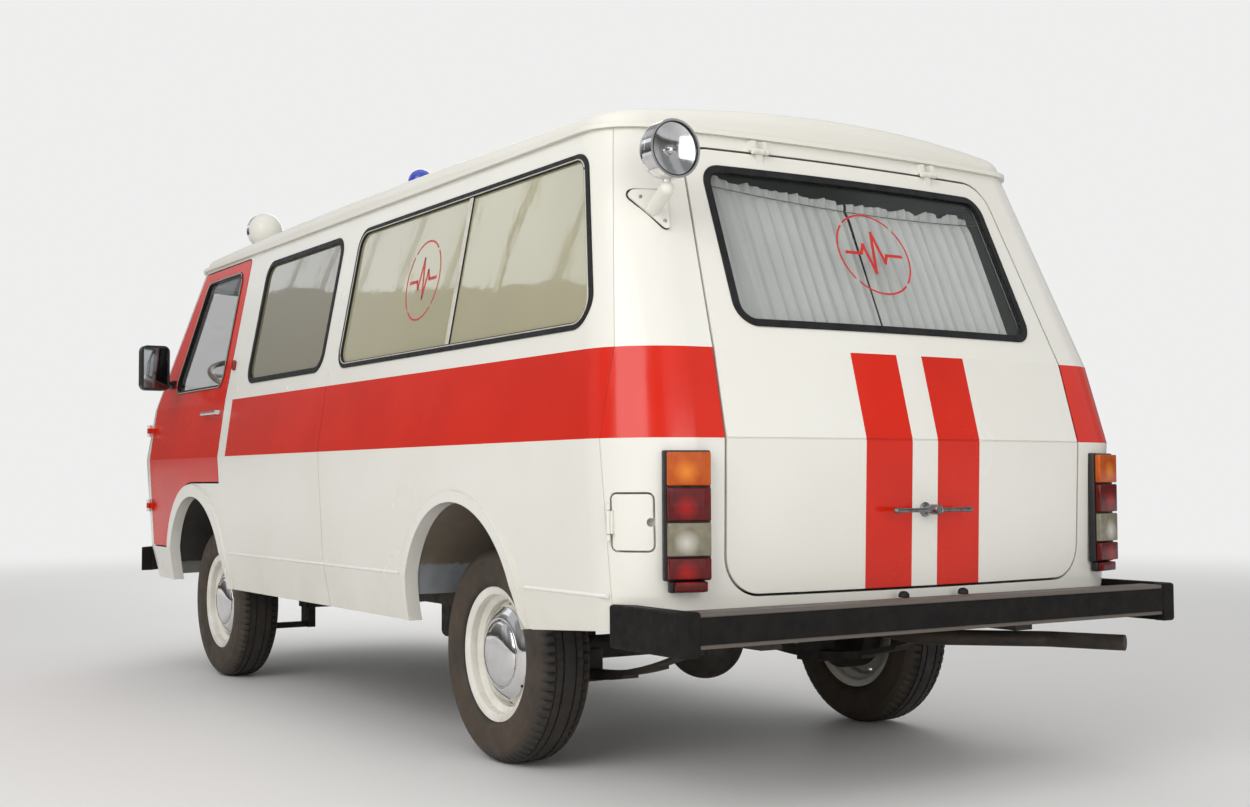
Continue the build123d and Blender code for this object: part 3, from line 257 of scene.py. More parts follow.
def paintedLensReflection(kind, reflectionColor):   # painted reflection: the reflector behind each moulded lens is painted into its colour as a lighter spot
    def overlay(tree, coords, color):
        _, y, z = axes(tree, coords)
        across = mathNode(tree, "SUBTRACT", mathNode(tree, "ABSOLUTE", y), lensSpots["across"])
        for height in lensSpots[kind]:
            up = mathNode(tree, "SUBTRACT", z, height)
            spot = remap(tree, span(tree, across, up), *lensSpots["reach"], 0.75, 0)
            color = mixColor(tree, spot, color, reflectionColor)
        return color
    return overlay


bumperLips = {"low": (0.4550, 0.4668), "high": (0.5342, 0.5462), "half": 0.8615, "steel": (0.15, 0.128, 0.112)}


def bumperEdges(tree, coords, color):   # bare steel lips above and under the rubber pad
    x, y, z = axes(tree, coords)
    lips = mathNode(tree, "MAXIMUM", inside(tree, z, *bumperLips["low"]), inside(tree, z, *bumperLips["high"]))
    bar = mathNode(tree, "MULTIPLY", mathNode(tree, "LESS_THAN", mathNode(tree, "ABSOLUTE", y), bumperLips["half"]),
                   mathNode(tree, "LESS_THAN", x, 0))
    return mixColor(tree, mathNode(tree, "MULTIPLY", lips, bar), color, bumperLips["steel"])


sidewall = {"middle": 0.7325, "from": (0.066, 0.078), "dust": (0.070, 0.049, 0.031)}


def tyreDust(tree, coords, color):   # brown dust on the sidewalls, darker tread
    y = axes(tree, coords)[1]
    across = mathNode(tree, "SUBTRACT", mathNode(tree, "ABSOLUTE", y), sidewall["middle"])
    wall = remap(tree, mathNode(tree, "ABSOLUTE", across), *sidewall["from"], 0, 1)
    dust = mathNode(tree, "MULTIPLY", wall, remap(tree, noiseNode(tree, coords, 6, 6), 0.3, 0.75, 0.35, 1))
    return mixColor(tree, dust, color, sidewall["dust"])


darkPane = {"from": -0.20, "color": (0.185, 0.162, 0.094)}


def frontPane(tree, coords, color):   # the front side window is the darker one
    front = mathNode(tree, "GREATER_THAN", axes(tree, coords)[0], darkPane["from"])
    return mixColor(tree, front, color, darkPane["color"])


spotShell = {"y": 0.750, "z": 1.750, "radius": 0.0815, "front": -2.10, "chrome": (0.72, 0.72, 0.73), "gloss": 0.3}


def chromeShell(tree, coords):   # the rear spotlight's shell, apart from its painted bracket
    x, y, z = axes(tree, coords)
    across = mathNode(tree, "SUBTRACT", y, spotShell["y"])
    up = mathNode(tree, "SUBTRACT", z, spotShell["z"])
    near = mathNode(tree, "LESS_THAN", span(tree, across, up), spotShell["radius"])
    return mathNode(tree, "MULTIPLY", near, mathNode(tree, "LESS_THAN", x, spotShell["front"]))


whiteSpec = {"color": paint["white"], "shade": paint["whiteShade"], "grain": 1.6, "rough": (0.20, 0.28), "coat": 0.25,
             "coatRough": 0.07, "specular": 0.3, "bump": (420, 0.035, 0.001), "edge": 0.0025}
materials = {
    "whitePaint": makeMaterial("whitePaint", whiteSpec, lowDust),
    "bandPaint": makeMaterial("bandPaint", whiteSpec, sideBand),
    "hatchPaint": makeMaterial("hatchPaint", whiteSpec, hatchStripes),
    "roofPaint": makeMaterial("roofPaint", {
        **whiteSpec, "rough": (0.36, 0.48), "coat": 0.0, "specular": 0.22}, lowDust),
    # same white as the body, made lighter: a painted highlight on the crease ledge
    "ledgeHighlightPaint": makeMaterial("ledgeHighlightPaint", {
        **whiteSpec, "color": (0.80, 0.795, 0.75), "shade": (0.77, 0.76, 0.71)}),
    "redPaint": makeMaterial("redPaint", {
        **whiteSpec, "color": paint["red"], "shade": paint["redShade"], "grain": 3.0, "coat": 0.12,
        "specular": 0.22}),
    "fittingRed": makeMaterial("fittingRed", {
        **whiteSpec, "color": (0.22, 0.012, 0.006), "shade": (0.14, 0.008, 0.004)}),
    "wheelPaint": makeMaterial("wheelPaint", {
        **whiteSpec, "color": (0.80, 0.78, 0.72), "shade": (0.66, 0.62, 0.54), "grain": 9.0,
        "rough": (0.2, 0.38), "edge": 0.001}),
    "cabinPaint": makeMaterial("cabinPaint", {
        "color": (0.42, 0.43, 0.41), "shade": (0.34, 0.35, 0.33), "grain": 6.0, "rough": (0.45, 0.65),
        "bump": (900, 0.15, 0.001), "edge": 0.003}),
    "chassisPaint": makeMaterial("chassisPaint", {
        "color": (0.016, 0.015, 0.014), "shade": (0.050, 0.039, 0.028), "grain": 11.0,
        "rough": (0.55, 0.85), "bump": (260, 0.3, 0.001), "edge": 0.003}),
    "exhaustSteel": makeMaterial("exhaustSteel", {
        "color": (0.030, 0.026, 0.023), "shade": (0.065, 0.043, 0.028), "grain": 14.0, "rough": (0.5, 0.78),
        "metallic": 0.4, "bump": (300, 0.25, 0.001)}),
    "clearGlass": makeMaterial("clearGlass", {
        "color": (0.030, 0.040, 0.036), "shade": (0.022, 0.030, 0.028), "grain": 2.0,
        "rough": (0.015, 0.03), "alpha": 0.20, "specular": 1.0, "coat": 1.0, "coatRough": 0.01}),
    "archPaint": makeMaterial("archPaint", {
        "color": (0.20, 0.165, 0.125), "shade": (0.145, 0.115, 0.085), "grain": 7.0, "rough": (0.5, 0.75),
        "bump": (320, 0.3, 0.001), "edge": 0.003}, archCoat),
    "creamPlastic": makeMaterial("creamPlastic", {
        "color": (0.74, 0.70, 0.60), "shade": (0.66, 0.61, 0.50), "grain": 12.0, "rough": (0.22, 0.36),
        "coat": 0.5, "coatRough": 0.06}),
    "bufferRubber": makeMaterial("bufferRubber", {
        "color": (0.0065, 0.006, 0.006), "shade": (0.013, 0.0115, 0.0105), "grain": 22.0,
        "rough": (0.5, 0.68), "specular": 0.14, "bump": (520, 0.28, 0.0008), "edge": 0.009}, bumperEdges),
    "filmGlass": makeMaterial("filmGlass", {
        "color": (0.43, 0.40, 0.255), "shade": (0.34, 0.315, 0.195), "grain": 1.1, "rough": (0.02, 0.05),
        "alpha": 0.95, "specular": 0.8, "coat": 0.8, "coatRough": 0.01,
        "bump": (4.5, 0.07, 0.01)}, frontPane),
    "gasket": makeMaterial("gasket", {
        "color": (0.0085, 0.0085, 0.010), "shade": (0.019, 0.0185, 0.019), "grain": 30.0,
        "rough": (0.35, 0.6), "specular": 0.2, "bump": (700, 0.1, 0.0006), "edge": 0.004}),
    "creamBead": makeMaterial("creamBead", {
        "color": (0.55, 0.53, 0.46), "shade": (0.42, 0.40, 0.34), "grain": 20.0, "rough": (0.25, 0.4)}),
    "blackPlastic": makeMaterial("blackPlastic", {
        "color": (0.0095, 0.009, 0.009), "shade": (0.021, 0.019, 0.018), "grain": 18.0,
        "rough": (0.30, 0.5), "specular": 0.35, "bump": (850, 0.18, 0.0008), "edge": 0.005}),
    "chrome": makeMaterial("chrome", {
        "color": (0.74, 0.74, 0.75), "shade": (0.66, 0.65, 0.64), "grain": 24.0, "rough": (0.05, 0.12),
        "metallic": 1.0}),
    "reflector": makeMaterial("reflector", {
        "color": (0.86, 0.86, 0.86), "shade": (0.78, 0.78, 0.79), "grain": 30.0, "rough": (0.08, 0.16),
        "metallic": 1.0}),
    "mirrorGlass": makeMaterial("mirrorGlass", {
        "color": (0.13, 0.135, 0.14), "shade": (0.10, 0.105, 0.11), "grain": 4.0, "rough": (0.05, 0.09),
        "metallic": 1.0}),
    "wornChrome": makeMaterial("wornChrome", {
        "color": (0.30, 0.305, 0.32), "shade": (0.16, 0.155, 0.15), "grain": 60.0, "rough": (0.16, 0.34),
        "metallic": 1.0, "bump": (900, 0.12, 0.0005)}),
    "spotGlass": makeMaterial("spotGlass", {
        "color": (0.05, 0.055, 0.055), "shade": (0.04, 0.045, 0.045), "grain": 3.0, "rough": (0.01, 0.03),
        "alpha": 0.10, "specular": 0.5}),
    # the lighter spots on the red, amber and tail lenses are painted reflections of the reflectors
    "redLens": makeMaterial("redLens", {
        "color": (0.115, 0.0018, 0.002), "shade": (0.075, 0.0012, 0.0015), "grain": 40.0,
        "rough": (0.16, 0.26), "coat": 0.12, "coatRough": 0.05, "specular": 0.25,
        "ribs": (1, 260, 0.5)}, paintedLensReflection("red", (0.40, 0.005, 0.004))),
    "amberLens": makeMaterial("amberLens", {
        "color": (0.50, 0.090, 0.004), "shade": (0.38, 0.055, 0.003), "grain": 36.0, "rough": (0.16, 0.26),
        "coat": 0.12, "coatRough": 0.05, "specular": 0.25,
        "ribs": (1, 260, 0.5)}, paintedLensReflection("amber", (0.80, 0.25, 0.02))),
    "clearLens": makeMaterial("clearLens", {
        "color": (0.42, 0.43, 0.39), "shade": (0.32, 0.33, 0.30), "grain": 30.0, "rough": (0.05, 0.10),
        "alpha": 0.45, "coat": 1.0, "coatRough": 0.03, "ribs": (1, 90, 0.6)}),
    "tailLens": makeMaterial("tailLens", {
        "color": (0.235, 0.21, 0.150), "shade": (0.165, 0.145, 0.10), "grain": 40.0, "rough": (0.16, 0.26),
        "coat": 0.15, "coatRough": 0.05, "specular": 0.3,
        "ribs": (1, 260, 0.5)}, paintedLensReflection("clear", (0.62, 0.61, 0.54))),
    "blueLens": makeMaterial("blueLens", {
        "color": (0.008, 0.045, 0.50), "shade": (0.005, 0.025, 0.34), "grain": 20.0, "rough": (0.10, 0.18),
        "coat": 1.0, "coatRough": 0.04, "ribs": (2, 140, 0.5)}),
    "redFilm": makeMaterial("redFilm", {
        "color": (0.56, 0.02, 0.012), "shade": (0.46, 0.015, 0.01), "grain": 25.0, "rough": (0.25, 0.4)}),
    "tyreRubber": makeMaterial("tyreRubber", {
        "color": (0.017, 0.0145, 0.0125), "shade": (0.030, 0.023, 0.017), "grain": 9.0,
        "rough": (0.55, 0.8), "bump": (520, 0.35, 0.0008)}, tyreDust),
    "vinyl": makeMaterial("vinyl", {
        "color": (0.075, 0.040, 0.026), "shade": (0.055, 0.028, 0.018), "grain": 26.0,
        "rough": (0.38, 0.55), "bump": (640, 0.4, 0.0008), "sheen": 0.1}),
    "curtainCloth": makeMaterial("curtainCloth", {
        "color": (0.84, 0.86, 0.83), "shade": (0.74, 0.76, 0.73), "grain": 5.0, "rough": (0.8, 0.95),
        "sheen": 0.3, "bump": (2400, 0.3, 0.0004)}),
    "zincSteel": makeMaterial("zincSteel", {
        "color": (0.42, 0.42, 0.40), "shade": (0.30, 0.29, 0.27), "grain": 40.0, "rough": (0.3, 0.5),
        "metallic": 0.9}),
}


def makeLampPaint():   # white paint, chrome on the rear spotlight's shell
    material = makeMaterial("lampPaint", {key: whiteSpec[key] for key in whiteSpec if key != "coat"})
    tree = material.node_tree
    shader = tree.nodes["Principled BSDF"]
    coords = tree.nodes.new("ShaderNodeTexCoord").outputs["Object"]
    mask = chromeShell(tree, coords)
    painted = shader.inputs["Base Color"].links[0].from_socket
    link(tree, mixColor(tree, mask, painted, spotShell["chrome"]), shader.inputs["Base Color"])
    dull = shader.inputs["Roughness"].links[0].from_socket
    gloss = remap(tree, mask, 0, 1, 1, spotShell["gloss"])
    link(tree, mathNode(tree, "MULTIPLY", dull, gloss), shader.inputs["Roughness"])
    link(tree, mask, shader.inputs["Metallic"])
    return material


materials["lampPaint"] = makeLampPaint()

nodeMaterials = {
    "bandPaint": ["body_side_left", "body_side_right", "rear_frame", "side_door"],
    "hatchPaint": ["hatch"],
    "whitePaint": ["front_panel", "fuel_flap"], "roofPaint": ["roof"], "lampPaint": ["lamp_shells"],
    "archPaint": ["wheel_houses", "engine_cover"], "creamPlastic": ["steering_wheel"],
    "bufferRubber": ["rear_bumper", "front_bumper"],
    "redPaint": ["door_left", "door_right"],
    "cabinPaint": ["floor", "partition"],
    "chassisPaint": ["chassis_frame", "rear_axle", "engine", "knuckle_left", "knuckle_right"],
    "exhaustSteel": ["exhaust"],
    "clearGlass": ["windscreen", "door_left_glass", "door_right_glass", "hatch_glass"],
    "filmGlass": ["side_glass", "side_door_glass"],
    "gasket": ["window_rubbers", "door_left_rubber", "door_right_rubber", "side_door_rubber", "hatch_rubber"],
    "blackPlastic": ["grille", "dashboard", "mirror_left", "mirror_right"],
    "chrome": ["lamp_rims", "door_left_handle", "door_right_handle", "side_door_handle"],
    "blueLens": ["beacon_dome"], "vinyl": ["seats"], "tyreRubber": [n for n in nodes if n.startswith("tyre_")],
    "wheelPaint": [n for n in nodes if n.startswith(("wheel_front", "wheel_rear"))],
}
for materialName, names in nodeMaterials.items():
    for name in names:
        mesh = nodes[name].data
        mesh.materials.clear()
        mesh.materials.append(materials[materialName])
print("materials set:", len(materials))


def meshObject(name, verts, faces, material, sharp=35):
    mesh = bpy.data.meshes.new(name)
    mesh.from_pydata([tuple(v) for v in verts], [], faces)
    build = bmesh.new()
    build.from_mesh(mesh)
    bmesh.ops.recalc_face_normals(build, faces=build.faces)
    build.to_mesh(mesh)
    build.free()
    mesh.polygons.foreach_set("use_smooth", [True] * len(mesh.polygons))
    mesh.set_sharp_from_angle(angle=radians(sharp))
    mesh.materials.append(materials[material])
    obj = bpy.data.objects.new(name, mesh)
    bpy.context.collection.objects.link(obj)
    return obj


def lathe(name, profile, place, material, steps=96, closed=True, bump=None, sharp=35):
    # profile: (radius, distance along the place's Z); closed joins its last point to its first
    verts, faces, count = [], [], len(profile)
    for step in range(steps):
        turn = 2 * pi * step / steps
        for index, (radius, height) in enumerate(profile):
            if bump:
                radius = radius + bump(step, index)
            verts.append(place @ Vector((radius * cos(turn), radius * sin(turn), height)))
    spans = count if closed else count - 1
    for step in range(steps):
        after = (step + 1) % steps
        for index in range(spans):
            other = (index + 1) % count
            faces.append((step * count + index, step * count + other, after * count + other, after * count + index))
    if not closed:
        for index in (0, count - 1):
            if profile[index][0] < 1e-6:
                continue
            faces.append([step * count + index for step in range(steps)])
    obj = meshObject(name, verts, faces, material, sharp)
    mergeClose(obj)
    return obj


def sideWord(y):
    return "left" if y > 0 else "right"


def attach(obj, body):
    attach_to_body(obj, body)


def mergeClose(obj):
    build = bmesh.new()
    build.from_mesh(obj.data)
    bmesh.ops.remove_doubles(build, verts=build.verts, dist=0.00002)
    bmesh.ops.recalc_face_normals(build, faces=build.faces)
    build.to_mesh(obj.data)
    build.free()


def tube(name, points, radius, material, closed=False, sides=10):
    points = [Vector(p) for p in points]
    verts, faces, count = [], [], len(points)
    for index, point in enumerate(points):
        before = points[index - 1] if index or closed else point
        after = points[(index + 1) % count] if index < count - 1 or closed else point
        along = (after - before).normalized()
        helper = Vector((0, 0, 1)) if abs(along.z) < 0.9 else Vector((1, 0, 0))
        across = along.cross(helper).normalized()
        up = across.cross(along)
        for side in range(sides):
            turn = 2 * pi * side / sides
            verts.append(point + (across * cos(turn) + up * sin(turn)) * radius)
    for index in range(count if closed else count - 1):
        after = (index + 1) % count
        for side in range(sides):
            other = (side + 1) % sides
            faces.append((index * sides + side, index * sides + other, after * sides + other, after * sides + side))
    if not closed:
        faces.append(list(range(sides)))
        faces.append([(count - 1) * sides + side for side in range(sides)])
    return meshObject(name, verts, faces, material, 50)


def roundedBlock(name, centre, size, radius, material, turn=None, steps=3):
    build = bmesh.new()
    bmesh.ops.create_cube(build, size=1)
    bmesh.ops.scale(build, vec=Vector(size), verts=build.verts)
    bmesh.ops.bevel(build, geom=build.edges, offset=radius, segments=steps, profile=0.5, affect="EDGES")
    place = Matrix.Translation(centre) @ (turn if turn else Matrix())
    bmesh.ops.transform(build, matrix=place, verts=build.verts)
    mesh = bpy.data.meshes.new(name)
    build.to_mesh(mesh)
    build.free()
    mesh.polygons.foreach_set("use_smooth", [True] * len(mesh.polygons))
    mesh.set_sharp_from_angle(angle=radians(40))
    mesh.materials.append(materials[material])
    obj = bpy.data.objects.new(name, mesh)
    bpy.context.collection.objects.link(obj)
    return obj


def roundedOutline(points, radius, inset, steps=8):
    # a window's outline drawn in by inset, corners rounded: a list of 2-D points
    count = len(points)
    around = list(zip(points, points[1:] + points[:1]))
    way = 1 if sum(a[0] * b[1] - b[0] * a[1] for a, b in around) > 0 else -1
    lines = []
    for first, second in around:
        a, b = Vector(first), Vector(second)
        along = (b - a).normalized()
        inward = Vector((-along.y, along.x)) * way
        lines.append((a + inward * inset, along))
    corners = []
    for index in range(count):
        (p, d), (q, e) = lines[index - 1], lines[index]
        cross = d.x * e.y - d.y * e.x
        gap = q - p
        corners.append(p + d * ((gap.x * e.y - gap.y * e.x) / cross))
    result = []
    for index in range(count):
        bend = max((radius[index] if isinstance(radius, (tuple, list)) else radius) - inset, 0.004)
        corner = corners[index]
        toBefore = (corners[index - 1] - corner).normalized()
        toAfter = (corners[(index + 1) % count] - corner).normalized()
        half = toBefore.angle(toAfter) / 2
        middle = corner + (toBefore + toAfter).normalized() * (bend / sin(half))
        start = corner + toBefore * (bend / (sin(half) / cos(half)))
        end = corner + toAfter * (bend / (sin(half) / cos(half)))
        first = atan2(start.y - middle.y, start.x - middle.x)
        last = atan2(end.y - middle.y, end.x - middle.x)
        sweep = (last - first + pi) % (2 * pi) - pi
        for step in range(steps + 1):
            turn = first + sweep * step / steps
            result.append((middle.x + bend * cos(turn), middle.y + bend * sin(turn)))
    return result


def denser(points, gap):   # more points along the straight runs, for lines on a curved skin
    result = []
    for index, a in enumerate(points):
        b = points[(index + 1) % len(points)]
        length = sqrt((b[0] - a[0]) ** 2 + (b[1] - a[1]) ** 2)
        parts = max(1, int(length / gap))
        for part in range(parts):
            result.append((a[0] + (b[0] - a[0]) * part / parts, a[1] + (b[1] - a[1]) * part / parts))
    return result


wheelSizes = {   # lathe steps and tread blocks round the tyre, groove depths, slots of the disc, valve's turn
    "height": 0.335, "steps": 288, "blocks": 72, "grooveDepth": 0.0085, "shoulder": 0.55, "sipe": 0.0022,
    "slots": 8, "slotRadius": 0.1535, "slotSize": (0.0085, 0.024, 0.05), "valveTurn": 150, "valve": 0.0042,
    "places": {"front_left": (1.32, 0.74, 1), "front_right": (1.32, -0.74, -1),
               "rear_left": (-1.30, 0.725, 1), "rear_right": (-1.30, -0.725, -1)},
}
tyreSide = [
    (0.190, 0.058), (0.2084, 0.065), (0.2092, 0.0762), (0.2135, 0.0815), (0.220, 0.0855), (0.2275, 0.0885),
    (0.2300, 0.0887), (0.2315, 0.0897), (0.240, 0.0909), (0.252, 0.0920), (0.266, 0.0925), (0.280, 0.0915),
    (0.2935, 0.0884), (0.2955, 0.0890), (0.2985, 0.0882), (0.3000, 0.0868), (0.3070, 0.0838), (0.3135, 0.0798),
    (0.3195, 0.0748), (0.3245, 0.0695),
]
tyreTread = [
    (0.3285, 0.0635), (0.3316, 0.0570), (0.3338, 0.0500), (0.3285, 0.0485), (0.3285, 0.0445), (0.3346, 0.0430),
    (0.3350, 0.0250), (0.3292, 0.0235), (0.3292, 0.0195), (0.3350, 0.0180), (0.3350, 0.0000),
]
rimBarrel = [
    (0.2080, 0.0725), (0.2070, 0.0690), (0.2010, 0.0662), (0.1935, 0.0635), (0.1892, 0.0605), (0.1892, 0.0400),
    (0.1860, 0.0370), (0.1700, 0.0275), (0.1692, 0.0250), (0.1692, -0.0250), (0.1860, -0.0370), (0.1892, -0.0400),
    (0.1892, -0.0605), (0.2010, -0.0662), (0.2070, -0.0690), (0.2080, -0.0725), (0.2050, -0.0718), (0.1925, -0.0690),
    (0.1850, -0.0650), (0.1838, -0.0600), (0.1838, -0.0410), (0.1660, -0.0290), (0.1648, -0.0250), (0.1648, 0.0250),
    (0.1660, 0.0290), (0.1838, 0.0410), (0.1838, 0.0600), (0.1850, 0.0650), (0.1925, 0.0690), (0.2050, 0.0718),
]
rimDisc = [
    (0.1652, 0.0100), (0.1620, 0.0120), (0.1560, 0.0175), (0.1500, 0.0225), (0.1440, 0.0285), (0.1380, 0.0320),
    (0.1300, 0.0340), (0.1000, 0.0340), (0.0930, 0.0300), (0.0860, 0.0220), (0.0205, 0.0220), (0.0205, 0.0140),
    (0.0880, 0.0140), (0.0980, 0.0240), (0.1040, 0.0265), (0.1290, 0.0265), (0.1360, 0.0235), (0.1440, 0.0150),
    (0.1520, 0.0080), (0.1600, 0.0030), (0.1652, 0.0020),
]
capProfile = [   # hub cap: rolled brim, shallow outer dome, step, and the raised middle dome
    (0.1405, 0.0345), (0.1440, 0.0352), (0.1450, 0.0375), (0.1435, 0.0402), (0.1390, 0.0425), (0.1300, 0.0478),
    (0.1210, 0.0520), (0.1130, 0.0548), (0.1085, 0.0556), (0.1062, 0.0550), (0.1050, 0.0558), (0.1042, 0.0590),
    (0.1015, 0.0618), (0.0940, 0.0660), (0.0820, 0.0700), (0.0660, 0.0732), (0.0480, 0.0750), (0.0280, 0.0759),
    (0.0100, 0.0762), (0.0, 0.0762),
]
capInner = [(0.0, 0.0735), (0.0480, 0.0722), (0.0820, 0.0670), (0.1020, 0.0560), (0.1300, 0.0440), (0.1400, 0.0385)]


def treadBump():   # how far each point of the tread sinks into a groove
    period = wheelSizes["steps"] // wheelSizes["blocks"]
    full = tyreSide + tyreTread
    shoulder = range(len(tyreSide) - 3, len(tyreSide) + 3)
    centre = range(len(tyreSide) + 5, len(tyreSide) + 11)

    def bump(step, index):
        mirror = 2 * len(full) - 2 - index
        row = index if index < len(full) else mirror
        if row in shoulder and step % period == 0:
            return -wheelSizes["grooveDepth"] * (wheelSizes["shoulder"] if row < len(tyreSide) else 1.0)
        if row in centre and step % period == period // 2 and row < len(full) - 1:
            return -wheelSizes["sipe"]
        return 0.0
    return bump


def makeWheel(word, x, y, side):
    body = "wheel_" + word
    place = Matrix.Translation((x, y, wheelSizes["height"])) @ Matrix.Rotation(-side * pi / 2, 4, "X")
    outer = tyreSide + tyreTread
    profile = outer + [(r, -h) for r, h in reversed(outer[:-1])]
    inner = [(0.190, -0.044), (0.222, -0.066), (0.275, -0.072), (0.309, -0.052), (0.309, 0.052), (0.275, 0.072),
             (0.222, 0.066), (0.190, 0.044)]
    tyre = lathe("tyre_" + word + "_look", profile + inner, place, "tyreRubber", wheelSizes["steps"],
                 bump=lambda step, index: groove(step, index) if index < len(profile) else 0.0, sharp=32)
    attach(tyre, body)
    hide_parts("tyre_" + word)
    rim = lathe("rim_" + word, rimBarrel, place, "wheelPaint", 120)
    disc = lathe("disc_" + word, rimDisc, place, "wheelPaint", 120)
    cutSlots(disc, place)
    cap = lathe("hubcap_" + word, capProfile + capInner, place, "chrome", 144, sharp=25)
    attach(rim, body)
    attach(disc, body)
    attach(cap, body)
    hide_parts("wheel_" + word)
    stem = place @ Matrix.Rotation(radians(wheelSizes["valveTurn"]) * side, 4, "Z")
    valve = tube("valve_" + word, [stem @ Vector((0.176, 0, 0.030)), stem @ Vector((0.172, 0, 0.048)),
                                   stem @ Vector((0.168, 0, 0.062))], wheelSizes["valve"], "gasket")
    attach(valve, body)


def cutSlots(disc, place):   # the cooling slots round the hub cap
    build = bmesh.new()
    for number in range(wheelSizes["slots"]):
        turn = 2 * pi * number / wheelSizes["slots"]
        spot = place @ Matrix.Rotation(turn, 4, "Z") @ Matrix.Translation((wheelSizes["slotRadius"], 0, 0.012))
        made = bmesh.ops.create_cube(build, size=1)["verts"]
        bmesh.ops.scale(build, vec=wheelSizes["slotSize"], verts=made)
        bmesh.ops.transform(build, matrix=spot, verts=made)
    mesh = bpy.data.meshes.new("slotShapes")
    build.to_mesh(mesh)
    build.free()
    cutter = bpy.data.objects.new("slotShapes", mesh)
    bpy.context.collection.objects.link(cutter)
    change = disc.modifiers.new("slots", "BOOLEAN")
    change.operation = "DIFFERENCE"
    change.object = cutter
    bpy.context.view_layer.update()
    result = bpy.data.meshes.new_from_object(disc.evaluated_get(bpy.context.evaluated_depsgraph_get()))
    disc.modifiers.clear()
    disc.data = result
    bpy.data.objects.remove(cutter)


groove = treadBump()
for word, (x, y, side) in wheelSizes["places"].items():
    makeWheel(word, x, y, side)
print("wheels made")

windowLines = {   # outline, corner radius
    "door": ([(1.028, 1.284), (1.738, 1.284), (1.512, 1.800), (1.028, 1.800)], 0.055),
    "long": ([(-2.075, 1.280), (-0.280, 1.280), (-0.280, 1.798), (-1.890, 1.798)], 0.075),
}
bead = {"long": (0.0165, -0.0036), "door": (0.0035, -0.0030), "radius": 0.0021, "gap": 0.08}   # inset, depth
channel = {   # the black run along the door window's front edge
    "low": (1.712, 1.302), "high": (1.497, 1.786), "wide": 0.034, "depth": (0.0115, 0.0175),
}


def beadLine(name, window, mapper, body):
    points, radius = windowLines[window]
    outline = denser(roundedOutline(points, radius, bead[window][0]), bead["gap"])
    obj = tube(name, [mapper(a, b) for a, b in outline], bead["radius"], "creamBead", closed=True, sides=8)
    attach(obj, body)


for side, word in bothSides:
    beadLine("bead_long_" + word, "long", lambda x, z: sidePoint(x, z, bead["long"][1], side), "body")
    beadLine("bead_door_" + word, "door", lambda x, z: sidePoint(x, z, bead["door"][1], side), "door_" + word)
    verts = []
    for x, z in (channel["low"], channel["high"]):
        for shift in (-channel["wide"], 0):
            for depth in channel["depth"]:
                verts.append(sidePoint(x + shift, z, depth, side))
    faces = [(0, 1, 3, 2), (4, 5, 7, 6), (0, 1, 5, 4), (2, 3, 7, 6), (0, 2, 6, 4), (1, 3, 7, 5)]
    run = meshObject("window_run_" + word, verts, faces, "gasket")
    attach(run, "door_" + word)

# dark seals behind the seams of the doors and the hatch
seal = {"inset": 0.0062, "depth": 0.0212, "radius": 0.0066, "gap": 0.07}
doorSeal = [(1.955, 1.290), (1.575, 1.8388), (0.9562, 1.8388), (0.9562, 0.8752)]
slideSeal = [(0.740, 1.8388), (-0.172, 1.8388), (-0.1838, 1.827), (-0.1838, 0.488), (-0.172, 0.4762), (0.740, 0.4762)]
arch = {"x": 1.320, "z": 0.422, "radius": 0.4532, "sweep": 66, "steps": 16}


def sealLine(name, points, mapper, body):
    obj = tube(name, [mapper(a, b) for a, b in points], seal["radius"], "gasket", sides=8)
    attach(obj, body)


def alongLine(points):   # the same line with more points on it
    result = []
    for a, b in zip(points, points[1:]):
        parts = max(1, int(sqrt((b[0] - a[0]) ** 2 + (b[1] - a[1]) ** 2) / seal["gap"]))
        for part in range(parts):
            result.append((a[0] + (b[0] - a[0]) * part / parts, a[1] + (b[1] - a[1]) * part / parts))
    return result + [points[-1]]


archPoints = []
for step in range(arch["steps"] + 1):
    turn = radians(90 - arch["sweep"] * step / arch["steps"])
    archPoints.append((arch["x"] + arch["radius"] * cos(turn), arch["z"] + arch["radius"] * sin(turn)))
doorPoints = alongLine(doorSeal + [archPoints[0]]) + archPoints[1:]
for side, word in bothSides:
    sealLine("seal_door_" + word, doorPoints, lambda x, z: sidePoint(x, z, seal["depth"], side), "door_" + word)
sealLine("seal_side_door", alongLine(slideSeal), lambda x, z: sidePoint(x, z, seal["depth"], -1), "side_door")
hatchLine = {   # the lid's outline and corners; its seal runs round the sides and the foot, up to "top"
    "outline": [(-0.664, 0.568), (0.664, 0.568), (0.668, 0.980), (0.660, 1.222), (0.588, 1.815), (-0.588, 1.815),
                (-0.660, 1.222), (-0.668, 0.980)],
    "corners": [0.105, 0.105, 0.400, 0.400, 0.095, 0.095, 0.400, 0.400], "top": 1.80,
}
hatchPoints = roundedOutline(hatchLine["outline"], hatchLine["corners"], seal["inset"], 12)
lidRun = [point for point in hatchPoints if point[1] <= hatchLine["top"]]
split = max(range(len(lidRun) - 1), key=lambda i: abs(lidRun[i + 1][0] - lidRun[i][0]) * (lidRun[i][1] > 1.2))
lidRun = lidRun[split + 1:] + lidRun[:split + 1]
sealLine("seal_hatch", alongLine(lidRun), lambda y, z: rearPoint(y, z, seal["depth"]), "hatch")

